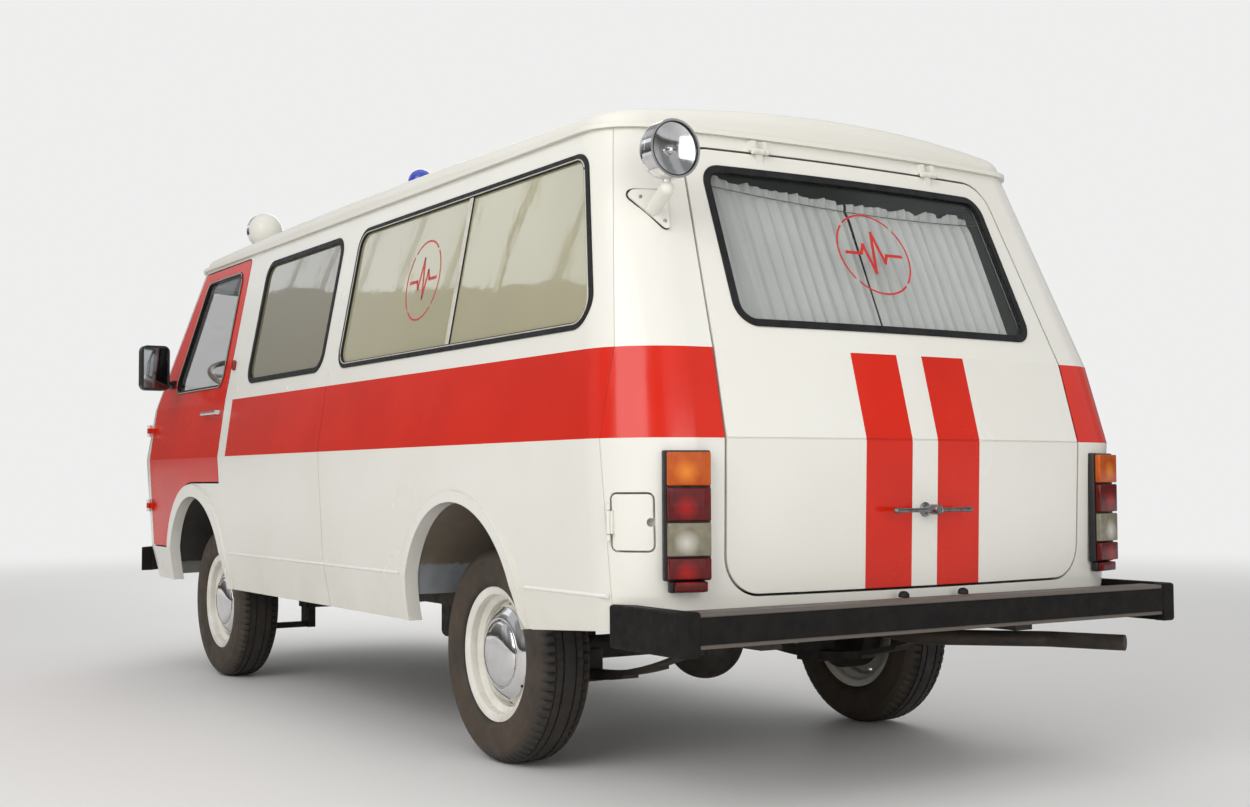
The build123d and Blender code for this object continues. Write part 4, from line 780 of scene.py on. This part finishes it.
windowPost = {   # the pale post between the long window's panes, and its section: along, depth
    "x": -1.180, "low": 1.302, "high": 1.776, "steps": 8,
    "section": ((-0.0128, 0.001), (-0.010, -0.0022), (0.010, -0.0022), (0.0128, 0.001)),
}
for side, word in bothSides:
    verts, faces = [], []
    for step in range(windowPost["steps"] + 1):
        z = windowPost["low"] + (windowPost["high"] - windowPost["low"]) * step / windowPost["steps"]
        for along, depth in windowPost["section"]:
            verts.append(sidePoint(windowPost["x"] + along, z, depth, side))
    for row in range(0, 4 * windowPost["steps"], 4):
        for index in range(4):
            other = (index + 1) % 4
            faces.append((row + index, row + other, row + 4 + other, row + 4 + index))
    last = 4 * windowPost["steps"]
    faces += [(0, 1, 2, 3), (last, last + 1, last + 2, last + 3)]
    post = meshObject("window_post_" + word, verts, faces, "creamBead")
    attach(post, "body")

curtain = {   # ends across the hatch, hem, depth behind the skin, folds, heading above the string, lean of the glass
    "left": 0.535, "right": -0.520, "bottom": 1.296, "depth": 0.056, "fold": 0.0085, "folds": 11,
    "heading": 0.034, "ruffle": 0.015, "frill": 0.006, "drawn": 0.0075, "lean": 0.4389,
}
curtainString = {
    "half": 0.548, "z": 1.697, "tilt": 0.019, "sag": 0.026, "radius": 0.0016, "lift": 0.0015, "hook": 0.0024,
}


def headingZ(y):   # the string sags between its ends
    across = 2 * (y - curtain["right"]) / (curtain["left"] - curtain["right"]) - 1
    return curtainString["z"] + curtainString["tilt"] * across - curtainString["sag"] * (1 - across ** 2)


def makeCurtain(word, y0, y1, seed):
    rng = random.Random(seed)
    phases = [rng.uniform(0, 2 * pi) for _ in range(4)]
    across, down = 240, 26
    verts, faces = [], []
    for row in range(down + 1):
        v = row / down
        for column in range(across + 1):
            u = column / across
            y = y0 + (y1 - y0) * u
            top = headingZ(y) + curtain["heading"]
            ruffle = max(0.0, 1 - v * 12)
            scallop = abs(sin(14 * u + phases[2])) * 0.7 + 0.3 * sin(33 * u + phases[1])
            z = top + (curtain["bottom"] - top) * v + ruffle * curtain["ruffle"] * (scallop - 0.75)
            wave = sin(2 * pi * curtain["folds"] * u + phases[0] + 1.3 * sin(5 * u + phases[1]))
            small = sin(2 * pi * curtain["folds"] * 2.37 * u + phases[2] + 2 * v)
            depth = curtain["depth"] + curtain["fold"] * wave * (0.55 + 0.45 * min(1, v * 3)) + 0.0016 * small
            depth += ruffle * curtain["frill"] * sin(96 * u + phases[3])
            depth += curtain["drawn"] * max(0.0, 1 - abs(v * 12 - 1.0) * 1.6)   # drawn in at the string
            point = rearPoint(y, z, depth)
            point.y += 0.004 * wave * v * sin(phases[3] + 3 * v)
            verts.append(point)
    for row in range(down):
        for column in range(across):
            first = row * (across + 1) + column
            faces.append((first, first + 1, first + across + 2, first + across + 1))
    obj = meshObject("curtain_" + word, verts, faces, "curtainCloth", 80)
    length = headingZ((y0 + y1) / 2) + curtain["heading"] - curtain["bottom"]
    length *= sqrt(1 + curtain["lean"] ** 2)
    attach(obj, "hatch")


stringLine = []
for step in range(-20, 21):
    y = step / 20 * curtainString["half"]
    stringLine.append(rearPoint(y, headingZ(y), curtain["depth"] - curtainString["lift"]))
string = tube("curtain_string", stringLine, curtainString["radius"], "zincSteel")
attach(string, "hatch")
makeCurtain("left", curtain["left"], 0.012, 3)
makeCurtain("right", 0.002, curtain["right"], 5)
for side in (-1, 1):   # hooks that hold the string's ends
    y = side * curtainString["half"]
    end = rearPoint(y, headingZ(y), curtain["depth"])
    bend = end + Vector((-0.006, side * 0.012, 0.004))
    hook = tube("string_hook_" + sideWord(side), [end, bend, rearPoint(side * 0.575, end.z + 0.006, 0.036)],
                curtainString["hook"], "zincSteel")
    attach(hook, "hatch")

emblem = {   # ring, the pulse line in it, the film's thickness, and its places on the glass
    "ring": (0.1305, 0.1365), "gap": 5, "line": 0.0105, "proud": 0.0004, "film": 0.0003, "glass": 0.005,
    "rearZ": 1.530, "rearTall": 0.92, "sideX": -0.900, "sideZ": 1.540, "sideWide": 0.93,
    "pulse": [(-0.105, 0.0), (-0.050, 0.0), (-0.034, 0.030), (-0.014, -0.062), (0.012, 0.074), (0.034, -0.026),
              (0.048, 0.0), (0.105, 0.0)],
}


def emblemObject(name, mapper, body, stretch=1.0):
    # a broken ring with a pulse line in it, as thin film on the glass; mapper sets a flat point on the pane
    verts, faces = [], []

    def prism(outline):
        base = len(verts)
        for level in (emblem["proud"], emblem["proud"] + emblem["film"]):
            for a, b in outline:
                verts.append(mapper(a * stretch, b, -level))
        count = len(outline)
        faces.append([base + i for i in range(count)])
        faces.append([base + count + i for i in range(count)])
        for i in range(count):
            j = (i + 1) % count
            faces.append((base + i, base + j, base + count + j, base + count + i))

    inner, outer = emblem["ring"]
    for start in range(0, 360, 90):
        for step in range(start + emblem["gap"] // 2, start + 90 - emblem["gap"] // 2 - 2, 3):
            a, b = radians(step + 45), radians(step + 48)
            prism([(inner * cos(a), inner * sin(a)), (outer * cos(a), outer * sin(a)),
                   (outer * cos(b), outer * sin(b)), (inner * cos(b), inner * sin(b))])
    half = emblem["line"] / 2
    for first, last in zip(emblem["pulse"], emblem["pulse"][1:]):
        a, b = Vector(first), Vector(last)
        along = (b - a).normalized()
        across = Vector((-along.y, along.x)) * half
        reach = along * half * 0.9
        start, end = a - reach, b + reach
        prism([tuple(start - across), tuple(end - across), tuple(end + across), tuple(start + across)])
    obj = meshObject(name, verts, faces, "redFilm")
    attach(obj, body)


def rearEmblem(a, b, lift):
    return rearPoint(-a, emblem["rearZ"] + b * emblem["rearTall"], emblem["glass"] + lift)


def sideEmblem(a, b, lift):
    return sidePoint(emblem["sideX"] + a * side, emblem["sideZ"] + b, emblem["glass"] + lift, side)


emblemObject("emblem_rear", rearEmblem, "hatch")
for side, word in bothSides:
    emblemObject("emblem_side_" + word, sideEmblem, "body", emblem["sideWide"])
print("windows dressed")

lampFaces = {   # x, y, z, radius, way
    "spot_rear": (-2.235, 0.750, 1.750, 0.076, -1), "spot_roof": (1.440, 0.585, 2.050, 0.076, 1),
    "head_left": (2.348, 0.610, 0.797, 0.088, 1), "head_right": (2.348, -0.610, 0.797, 0.088, 1),
}
lampLook = {   # the bowl's margin, depth and rise, the bulb, the lens's margin, back, edge and domes, its rubber seat
    "bowl": (0.0045, -0.0262, 0.0150), "bowlSteps": (0, 0.12, 0.25, 0.4, 0.55, 0.7, 0.85, 1), "sheet": 0.0006,
    "bulb": [(0, -0.0112), (0.008, -0.0122), (0.0125, -0.0150), (0.0125, -0.0245), (0, -0.0245)],
    "lens": (0.003, -0.0098, -0.0040), "spotDome": 0.0055, "headDome": 0.0118,
    "seat": [(0.0058, -0.0034), (0.0022, -0.0034), (0.0022, -0.0012), (0.0036, -0.0004), (0.0058, -0.0012)],
}
for word, (x, y, z, radius, way) in lampFaces.items():
    place = Matrix.Translation((x, y, z)) @ Matrix.Rotation(way * pi / 2, 4, "Y")
    spotlight = word.startswith("spot")
    margin, low, rise = lampLook["bowl"]
    bowl = [((radius - margin) * share, low + rise * share ** 2) for share in lampLook["bowlSteps"]]
    under = [(r, h - lampLook["sheet"]) for r, h in reversed(bowl)]
    reflector = lathe("reflector_" + word, bowl + under, place, "reflector", 72)
    attach(reflector, "body")
    bulb = lathe("bulb_" + word, lampLook["bulb"], place, "chrome", 32, closed=False)
    attach(bulb, "body")
    margin, back, front = lampLook["lens"]
    edge = radius - margin
    dome = lampLook["spotDome" if spotlight else "headDome"]
    crown = [(edge * cos(radians(turn)), front + dome * sin(radians(turn))) for turn in range(15, 91, 15)]
    lens = lathe("lens_" + word, [(0, back), (edge, back), (edge, front)] + crown, place,
                 "spotGlass" if spotlight else "clearLens", 72, closed=False)
    attach(lens, "body")
    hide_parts("lenses_clear")
    ring = [(radius - margin, height) for margin, height in lampLook["seat"]]
    seat = lathe("lens_seat_" + word, ring, place, "gasket", 72)
    attach(seat, "body")

tailLamp = {   # place of the unit on the body's corner, its turn, its backs (middle, height, width) and its blocks
    "x": -2.3143, "y": 0.782, "turn": 15,
    "backs": {"base": (0.78025, 0.3335, 0.127), "foot": (0.5980, 0.030, 0.098)}, "backX": -0.0060, "backDeep": 0.022,
    "blocks": [("redLens", 0.5855, 0.6115, 0.088), ("redLens", 0.6175, 0.6715, 0.116),
               ("tailLens", 0.6765, 0.7615, 0.116), ("redLens", 0.7665, 0.8515, 0.116),
               ("amberLens", 0.8565, 0.9425, 0.116)],
    "blockX": -0.0260, "blockDeep": 0.0175,
}
lensParts = {   # the node that each lens stands for, and its slot
    "redLens": ("lenses_red", "red_lens"), "tailLens": ("lenses_clear", "clear_lens"),
    "amberLens": ("lenses_amber", "amber_lens"),
}
for side, word in bothSides:
    turn = Matrix.Rotation(radians(-tailLamp["turn"] * side), 4, "Z")
    spot = Matrix.Translation((tailLamp["x"], side * tailLamp["y"], 0)) @ turn
    for part, (middle, tall, wide) in tailLamp["backs"].items():
        back = roundedBlock("tail_" + part + "_" + word, spot @ Vector((tailLamp["backX"], 0, middle)),
                            (tailLamp["backDeep"], wide, tall), 0.004, "blackPlastic", turn)
        attach(back, "body")
        if part == "base":
            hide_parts("rear_lamp_housings")
    for number, (look, low, high, wide) in enumerate(tailLamp["blocks"]):
        centre = Vector((tailLamp["blockX"], side * (-0.004 if wide < 0.1 else 0.0), (low + high) / 2))
        block = roundedBlock("tail_lens_%d_%s" % (number, word), spot @ centre,
                             (tailLamp["blockDeep"], wide, high - low), 0.0035, look, turn)
        node, slot = lensParts[look]
        attach(block, "body")
        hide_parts(node)

hatchHandle = {   # places, and the profiles of the hub and of an arm: radius, distance
    "z": 0.785, "hubX": -2.3675, "armX": -2.4045, "armDrop": 0.001, "armDeep": 1.25,
    "hub": [(0, -0.004), (0.0205, -0.004), (0.0205, 0.002), (0.0128, 0.0045), (0.0128, 0.026), (0.0145, 0.028),
            (0.0145, 0.056), (0.0125, 0.060), (0.0105, 0.0585), (0.0, 0.0585)],
    "arm": [(0, 0.008), (0.0078, 0.010), (0.0066, 0.022), (0.0052, 0.045), (0.0046, 0.080), (0.0050, 0.110),
            (0.0064, 0.130), (0.0060, 0.142), (0.0030, 0.148), (0, 0.1485)],
}
place = Matrix.Translation((hatchHandle["hubX"], 0, hatchHandle["z"])) @ Matrix.Rotation(-pi / 2, 4, "Y")
hub = lathe("hatch_handle_hub", hatchHandle["hub"], place, "wornChrome", 48, closed=False)
for side, word in bothSides:
    place = Matrix.Translation((hatchHandle["armX"], 0, hatchHandle["z"] - hatchHandle["armDrop"]))
    place = place @ Matrix.Rotation(-side * pi / 2, 4, "X") @ Matrix.Diagonal((1.0, hatchHandle["armDeep"], 1.0, 1.0))
    arm = lathe("hatch_handle_arm_" + word, hatchHandle["arm"], place, "wornChrome", 24, closed=False, sharp=60)
    attach(arm, "hatch")
attach(hub, "hatch")
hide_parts("hatch_handle")

crease = {   # the painted ledge along the sides, in a lighter white that stands for its painted highlight; on the right its middle run starts behind the side door
    "parts": (("middle", 0.855, -0.872), ("rear", -1.728, -2.165)), "behindDoor": -0.200,
    "z": 0.5705, "depth": 0.0032, "radius": 0.0062,
}
for side, word in bothSides:
    for part, start, end in crease["parts"]:
        if side < 0 and part == "middle":
            start = crease["behindDoor"]
        count = max(2, int(abs(end - start) / 0.1))
        line = [sidePoint(start + (end - start) * step / count, crease["z"], crease["depth"], side)
                for step in range(count + 1)]
        ledge = tube("crease_" + part + "_" + word, line, crease["radius"], "ledgeHighlightPaint", sides=20)
        attach(ledge, "body")


cornerRows = [(0.415, 0.205), (0.570, 0.220), (0.980, 0.230), (1.222, 0.215), (1.860, 0.150)]   # height, radius


def cornerPoint(y, z, depth):   # on the rounded rear left corner
    radius = cornerRows[-1][1]
    for (z0, r0), (z1, r1) in zip(cornerRows, cornerRows[1:]):
        if z <= z1:
            radius = r0 + (r1 - r0) * (z - z0) / (z1 - z0)
            break
    half, rear = bodyRow(z)[:2]
    centreY = half - radius
    centreX = rear + rearBow - sqrt((rearBow - radius) ** 2 - centreY ** 2)
    if y < centreY:
        return rearPoint(y, z, depth)
    return Vector((centreX - sqrt(max((radius - depth) ** 2 - (y - centreY) ** 2, 0)), y, z))


bracket = {   # foot of the rear spotlight's bracket: corners with their radius, its gasket and its two screws
    "corners": [(0.764, 1.650, 0.0185), (0.700, 1.650, 0.0185), (0.708, 1.566, 0.0125)],
    "gasket": 0.0026, "gasketLift": 0.0022, "screws": ((0.7565, 1.6445), (0.7095, 1.5755)), "screwLift": 0.0088,
    "screw": [(0, 0), (0.0058, 0), (0.0058, 0.0012), (0.0035, 0.0028), (0, 0.0030)],
}
ring = []
for index, (y, z, radius) in enumerate(bracket["corners"]):
    before, after = bracket["corners"][index - 1], bracket["corners"][(index + 1) % 3]
    first = atan2(z - before[1], y - before[0]) - pi / 2
    last = atan2(after[1] - z, after[0] - y) - pi / 2
    sweep = (last - first) % (2 * pi)
    turns = [first + sweep * step / 8 for step in range(9)]
    if sweep > pi:
        turns = [first + (sweep - 2 * pi) * step / 8 + pi for step in range(9)]
    ring += [cornerPoint(y + radius * cos(turn), z + radius * sin(turn), -bracket["gasketLift"]) for turn in turns]
gasketRing = tube("bracket_gasket", ring, bracket["gasket"], "gasket", closed=True, sides=8)
attach(gasketRing, "body")
for number, (y, z) in enumerate(bracket["screws"]):
    place = Matrix.Translation(cornerPoint(y, z, -bracket["screwLift"])) @ Matrix.Rotation(-pi / 2, 4, "Y")
    screw = lathe("bracket_screw_%d" % number, bracket["screw"], place, "zincSteel", 24, closed=False)
    attach(screw, "body")

mirror = {"x": 1.5370, "y": 1.055, "z": 1.396, "size": (0.0016, 0.108, 0.184), "edge": 0.0007}
for side, word in bothSides:
    glass = roundedBlock("mirror_glass_" + word, (mirror["x"], side * mirror["y"], mirror["z"]), mirror["size"],
                         mirror["edge"], "mirrorGlass")
    attach(glass, "door_" + word)
fitting = roundedBlock("pillar_fitting", sidePoint(0.900, 1.372, -0.0075), (0.024, 0.015, 0.044), 0.006,
                       "fittingRed")   # on the left door's rear pillar
attach(fitting, "body")

wiper = {   # hub, the arm's bend and tip, the blade's ends, and the hub's profile; lifts stand off the glass
    "y": (-0.30, 0.30), "hubShift": 0.02, "hubZ": 1.244, "footLift": 0.012, "bend": (0.010, 0, 0.004),
    "tipShift": 0.16, "tipZ": 1.50, "tipLift": 0.014, "arm": 0.0045,
    "bladeLow": 0.05, "bladeHigh": 0.02, "bladeZ": 1.33, "bladeTall": 0.36, "bladeLift": 0.011, "blade": 0.0042,
    "hub": [(0, 0), (0, 0.018), (0.010, 0.016), (0.014, 0.010), (0.014, 0)],
}
for y in wiper["y"]:
    way, word = (1, "left") if y > 0 else (-1, "right")
    foot = frontPoint(y + wiper["hubShift"], wiper["hubZ"], -wiper["footLift"])
    tip = frontPoint(y - way * wiper["tipShift"], wiper["tipZ"], -wiper["tipLift"])
    arm = tube("wiper_arm_" + word, [foot, foot.lerp(tip, 0.5) + Vector(wiper["bend"]), tip], wiper["arm"],
               "blackPlastic")
    low, high = tip.y + way * wiper["bladeLow"], tip.y - way * wiper["bladeHigh"]
    line = [frontPoint(low + (high - low) * step / 8, wiper["bladeZ"] + wiper["bladeTall"] * step / 8,
                       -wiper["bladeLift"]) for step in range(9)]
    blade = tube("wiper_blade_" + word, line, wiper["blade"], "gasket")
    place = Matrix.Translation(frontPoint(y + wiper["hubShift"], wiper["hubZ"], 0.0))
    knob = lathe("wiper_hub_" + word, wiper["hub"], place @ Matrix.Rotation(pi / 2, 4, "Y"), "blackPlastic", 24)
    for obj in (arm, blade, knob):
        attach(obj, "body")

hatchStop = {   # rubber stops on the bumper's ledge
    "x": -2.398, "y": (-0.112, 0.112), "z": 0.5456,
    "profile": [(0, 0), (0.015, 0), (0.015, 0.008), (0.0125, 0.013), (0.007, 0.017), (0, 0.018)],
}
for y in hatchStop["y"]:
    stop = lathe("hatch_stop_" + sideWord(y), hatchStop["profile"],
                 Matrix.Translation((hatchStop["x"], y, hatchStop["z"])), "gasket", 32, closed=False)
    attach(stop, "body")
print("trim made")

seatY = 0.52
seatBase = {"centre": (1.345, seatY, 0.8275), "size": (0.43, 0.40, 0.0095), "edge": 0.003}
seatChannels = (-0.5, -0.17, 0.17, 0.5)   # sewn grooves across the width, as shares of its half
seatParts = {   # centre, size, lean in degrees
    "cushion": ((1.340, 0.0, 0.893), (0.455, 0.455, 0.118), 0),
    "back": ((1.080, 0.0, 1.232), (0.106, 0.435, 0.610), -10),
}


def makePad(name, centre, size, lean):
    build = bmesh.new()
    bmesh.ops.create_cube(build, size=2)
    bmesh.ops.subdivide_edges(build, edges=build.edges, cuts=23, use_grid_fill=True)
    thin = min(range(3), key=lambda axis: size[axis])
    wide = [axis for axis in range(3) if axis != thin]
    for vert in build.verts:
        c = list(vert.co)
        edge = max(abs(c[wide[0]]), abs(c[wide[1]]))
        crown = 1 - 0.30 * edge ** 4
        groove = 0.0
        for line in seatChannels:
            groove = max(groove, 1 - min(1, abs(c[1] - line) / 0.05))
        if abs(c[thin]) > 0.9:
            c[thin] *= crown - 0.10 * groove * (1 - edge ** 6)
        pull = 1 - 0.035 * abs(c[thin]) ** 4
        c[wide[0]] *= pull
        c[wide[1]] *= pull
        vert.co = Vector([c[axis] * size[axis] / 2 for axis in range(3)])
    place = Matrix.Translation(centre) @ Matrix.Rotation(radians(lean), 4, "Y")
    bmesh.ops.transform(build, matrix=place, verts=build.verts)
    mesh = bpy.data.meshes.new(name)
    build.to_mesh(mesh)
    build.free()
    mesh.polygons.foreach_set("use_smooth", [True] * len(mesh.polygons))
    mesh.materials.append(materials["vinyl"])
    obj = bpy.data.objects.new(name, mesh)
    bpy.context.collection.objects.link(obj)
    attach(obj, "body")
    return obj


for side, word in bothSides:
    for part, (centre, size, lean) in seatParts.items():
        pad = makePad("seat_" + part + "_" + word, (centre[0], side * seatY, centre[2]), size, lean)
        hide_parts("seats")
    x, y, z = seatBase["centre"]
    frameBase = roundedBlock("seat_base_" + word, (x, side * y, z), seatBase["size"], seatBase["edge"],
                             "chassisPaint")
    attach(frameBase, "body")
print("seats made")

stageLook = {"floor": (0.76, 0.75, 0.735), "backdrop": (0.86, 0.86, 0.855), "world": 0.62, "near": 3.6, "far": 15.0}


def makeStage():
    mesh = bpy.data.meshes.new("studioFloor")
    mesh.from_pydata([(-40, -40, 0), (40, -40, 0), (40, 40, 0), (-40, 40, 0)], [], [(0, 1, 2, 3)])
    material = bpy.data.materials.new("studioFloor")
    material.use_nodes = True
    tree = material.node_tree
    shader = tree.nodes["Principled BSDF"]
    shader.inputs["Roughness"].default_value = 0.6
    coords = tree.nodes.new("ShaderNodeTexCoord").outputs["Object"]
    worn = [value * 0.97 for value in stageLook["floor"]]
    shade = mixColor(tree, noiseNode(tree, coords, 0.8, 3), stageLook["floor"], worn)
    link(tree, shade, shader.inputs["Base Color"])
    glow = tree.nodes.new("ShaderNodeEmission")   # far off, the floor runs into the backdrop
    glow.inputs["Color"].default_value = (*stageLook["backdrop"], 1)
    x, y, _ = axes(tree, coords)
    mix = tree.nodes.new("ShaderNodeMixShader")
    fade = remap(tree, span(tree, x, y), stageLook["near"], stageLook["far"])
    fade.node.interpolation_type = "SMOOTHERSTEP"
    link(tree, fade, mix.inputs[0])
    link(tree, shader.outputs[0], mix.inputs[1])
    link(tree, glow.outputs[0], mix.inputs[2])
    link(tree, mix.outputs[0], tree.nodes["Material Output"].inputs["Surface"])
    mesh.materials.append(material)
    floor = bpy.data.objects.new("studioFloor", mesh)
    bpy.context.collection.objects.link(floor)


sky = {"low": -0.05, "high": 0.45, "ground": (0.30, 0.27, 0.24), "light": (0.98, 0.99, 1.0)}
hall = {   # a hall with a dark floor and lit strips, seen only in glossy paint
    "strips": 9, "low": 0.04, "high": 0.30, "dark": (0.13, 0.115, 0.10), "light": (0.95, 0.97, 1.0),
}
hallWindows = {   # a wall of lit windows left of the front, which only glossy rays meet
    "from": 1.2, "to": 4.6, "low": 0.555, "high": 1.0, "rise": 0.105, "bars": 29, "barWidth": -0.9,
    "ripple": 14, "rippleDepth": 0.10, "light": (1.9, 2.0, 2.1),
}


def makeWorld():
    world = bpy.data.worlds.new("studio")
    bpy.context.scene.world = world
    world.use_nodes = True
    tree = world.node_tree
    tree.nodes.clear()
    output = tree.nodes.new("ShaderNodeOutputWorld")
    light = tree.nodes.new("ShaderNodeBackground")
    up = axes(tree, tree.nodes.new("ShaderNodeTexCoord").outputs["Generated"])[2]
    dome = mixColor(tree, remap(tree, up, sky["low"], sky["high"]), sky["ground"], sky["light"])
    link(tree, dome, light.inputs["Color"])
    shine = tree.nodes.new("ShaderNodeBackground")
    bearing = tree.nodes.new("ShaderNodeTexCoord").outputs["Generated"]
    x, y, z = axes(tree, bearing)
    strips = mathNode(tree, "SINE", mathNode(tree, "MULTIPLY", mathNode(tree, "ARCTAN2", y, x), hall["strips"]))
    lit = mathNode(tree, "MULTIPLY", remap(tree, strips, -0.3, 0.3, 0.45, 1),
                   remap(tree, z, hall["low"], hall["high"], 0, 1))
    walls = mixColor(tree, lit, hall["dark"], hall["light"])
    ripple = noiseNode(tree, bearing, hallWindows["ripple"], 2)
    ripple = mathNode(tree, "MULTIPLY", ripple, hallWindows["rippleDepth"])
    run = mathNode(tree, "ADD", mathNode(tree, "DIVIDE", x, y), ripple)
    rise = mathNode(tree, "ADD", mathNode(tree, "DIVIDE", z, y), ripple)
    sill = mathNode(tree, "SUBTRACT", rise, mathNode(tree, "MULTIPLY", run, hallWindows["rise"]))
    panes = mathNode(tree, "MULTIPLY", inside(tree, run, hallWindows["from"], hallWindows["to"]),
                     inside(tree, sill, hallWindows["low"], hallWindows["high"]))
    wave = mathNode(tree, "SINE", mathNode(tree, "MULTIPLY", run, hallWindows["bars"]))
    panes = mathNode(tree, "MULTIPLY", panes, mathNode(tree, "GREATER_THAN", wave, hallWindows["barWidth"]))
    panes = mathNode(tree, "MULTIPLY", panes, mathNode(tree, "GREATER_THAN", y, 0.05))
    link(tree, mixColor(tree, panes, walls, hallWindows["light"]), shine.inputs["Color"])
    shine.inputs["Strength"].default_value = stageLook["world"]
    light.inputs["Strength"].default_value = stageLook["world"]
    seen = tree.nodes.new("ShaderNodeBackground")
    seen.inputs["Color"].default_value = (*stageLook["backdrop"], 1)
    path = tree.nodes.new("ShaderNodeLightPath")
    mix = tree.nodes.new("ShaderNodeMixShader")
    link(tree, path.outputs["Is Camera Ray"], mix.inputs[0])
    choose = tree.nodes.new("ShaderNodeMixShader")
    link(tree, path.outputs["Is Glossy Ray"], choose.inputs[0])
    link(tree, light.outputs[0], choose.inputs[1])
    link(tree, shine.outputs[0], choose.inputs[2])
    link(tree, choose.outputs[0], mix.inputs[1])
    link(tree, seen.outputs[0], mix.inputs[2])
    link(tree, mix.outputs[0], output.inputs["Surface"])


lamps = {   # place, aimed at, size, watts
    "key": ((-4.4, 7.2, 5.0), (-0.6, 0.4, 0.9), 6.0, 400),
    "top": ((0.0, 0.0, 6.8), (0.0, 0.0, 0.0), 8.0, 70),
    "rearFill": ((-9.0, 0.8, 2.6), (-1.5, 0.0, 1.0), 4.4, 165),
    "frontFill": ((7.0, -4.0, 4.0), (0.5, 0.0, 0.9), 5.5, 180),
}


def makeLamps():
    for name, (place, target, size, watts) in lamps.items():
        data = bpy.data.lights.new(name, "AREA")
        data.shape = "SQUARE"
        data.size = size
        data.energy = watts
        obj = bpy.data.objects.new(name, data)
        obj.location = place
        obj.rotation_euler = (Vector(target) - Vector(place)).to_track_quat("-Z", "Y").to_euler()
        bpy.context.collection.objects.link(obj)


camera = {
    "eye": (-5.5811, 3.0568, 0.8713), "lens": 44.530, "shift": (0.0026, 0.0026),
    "rows": ((-0.537252, -0.042625, -0.842344), (-0.843407, 0.021258, 0.536854), (-0.004976, 0.998865, -0.047371)),
}


def makeCamera():
    data = bpy.data.cameras.new("photoView")
    data.sensor_width = 36
    data.lens = camera["lens"]
    data.shift_x, data.shift_y = camera["shift"]
    obj = bpy.data.objects.new("photoView", data)
    obj.matrix_world = Matrix.Translation(camera["eye"]) @ Matrix(camera["rows"]).to_4x4()
    bpy.context.collection.objects.link(obj)
    bpy.context.scene.camera = obj


makeStage()
makeWorld()
makeLamps()
makeCamera()
bpy.context.scene.view_settings.view_transform = "Standard"
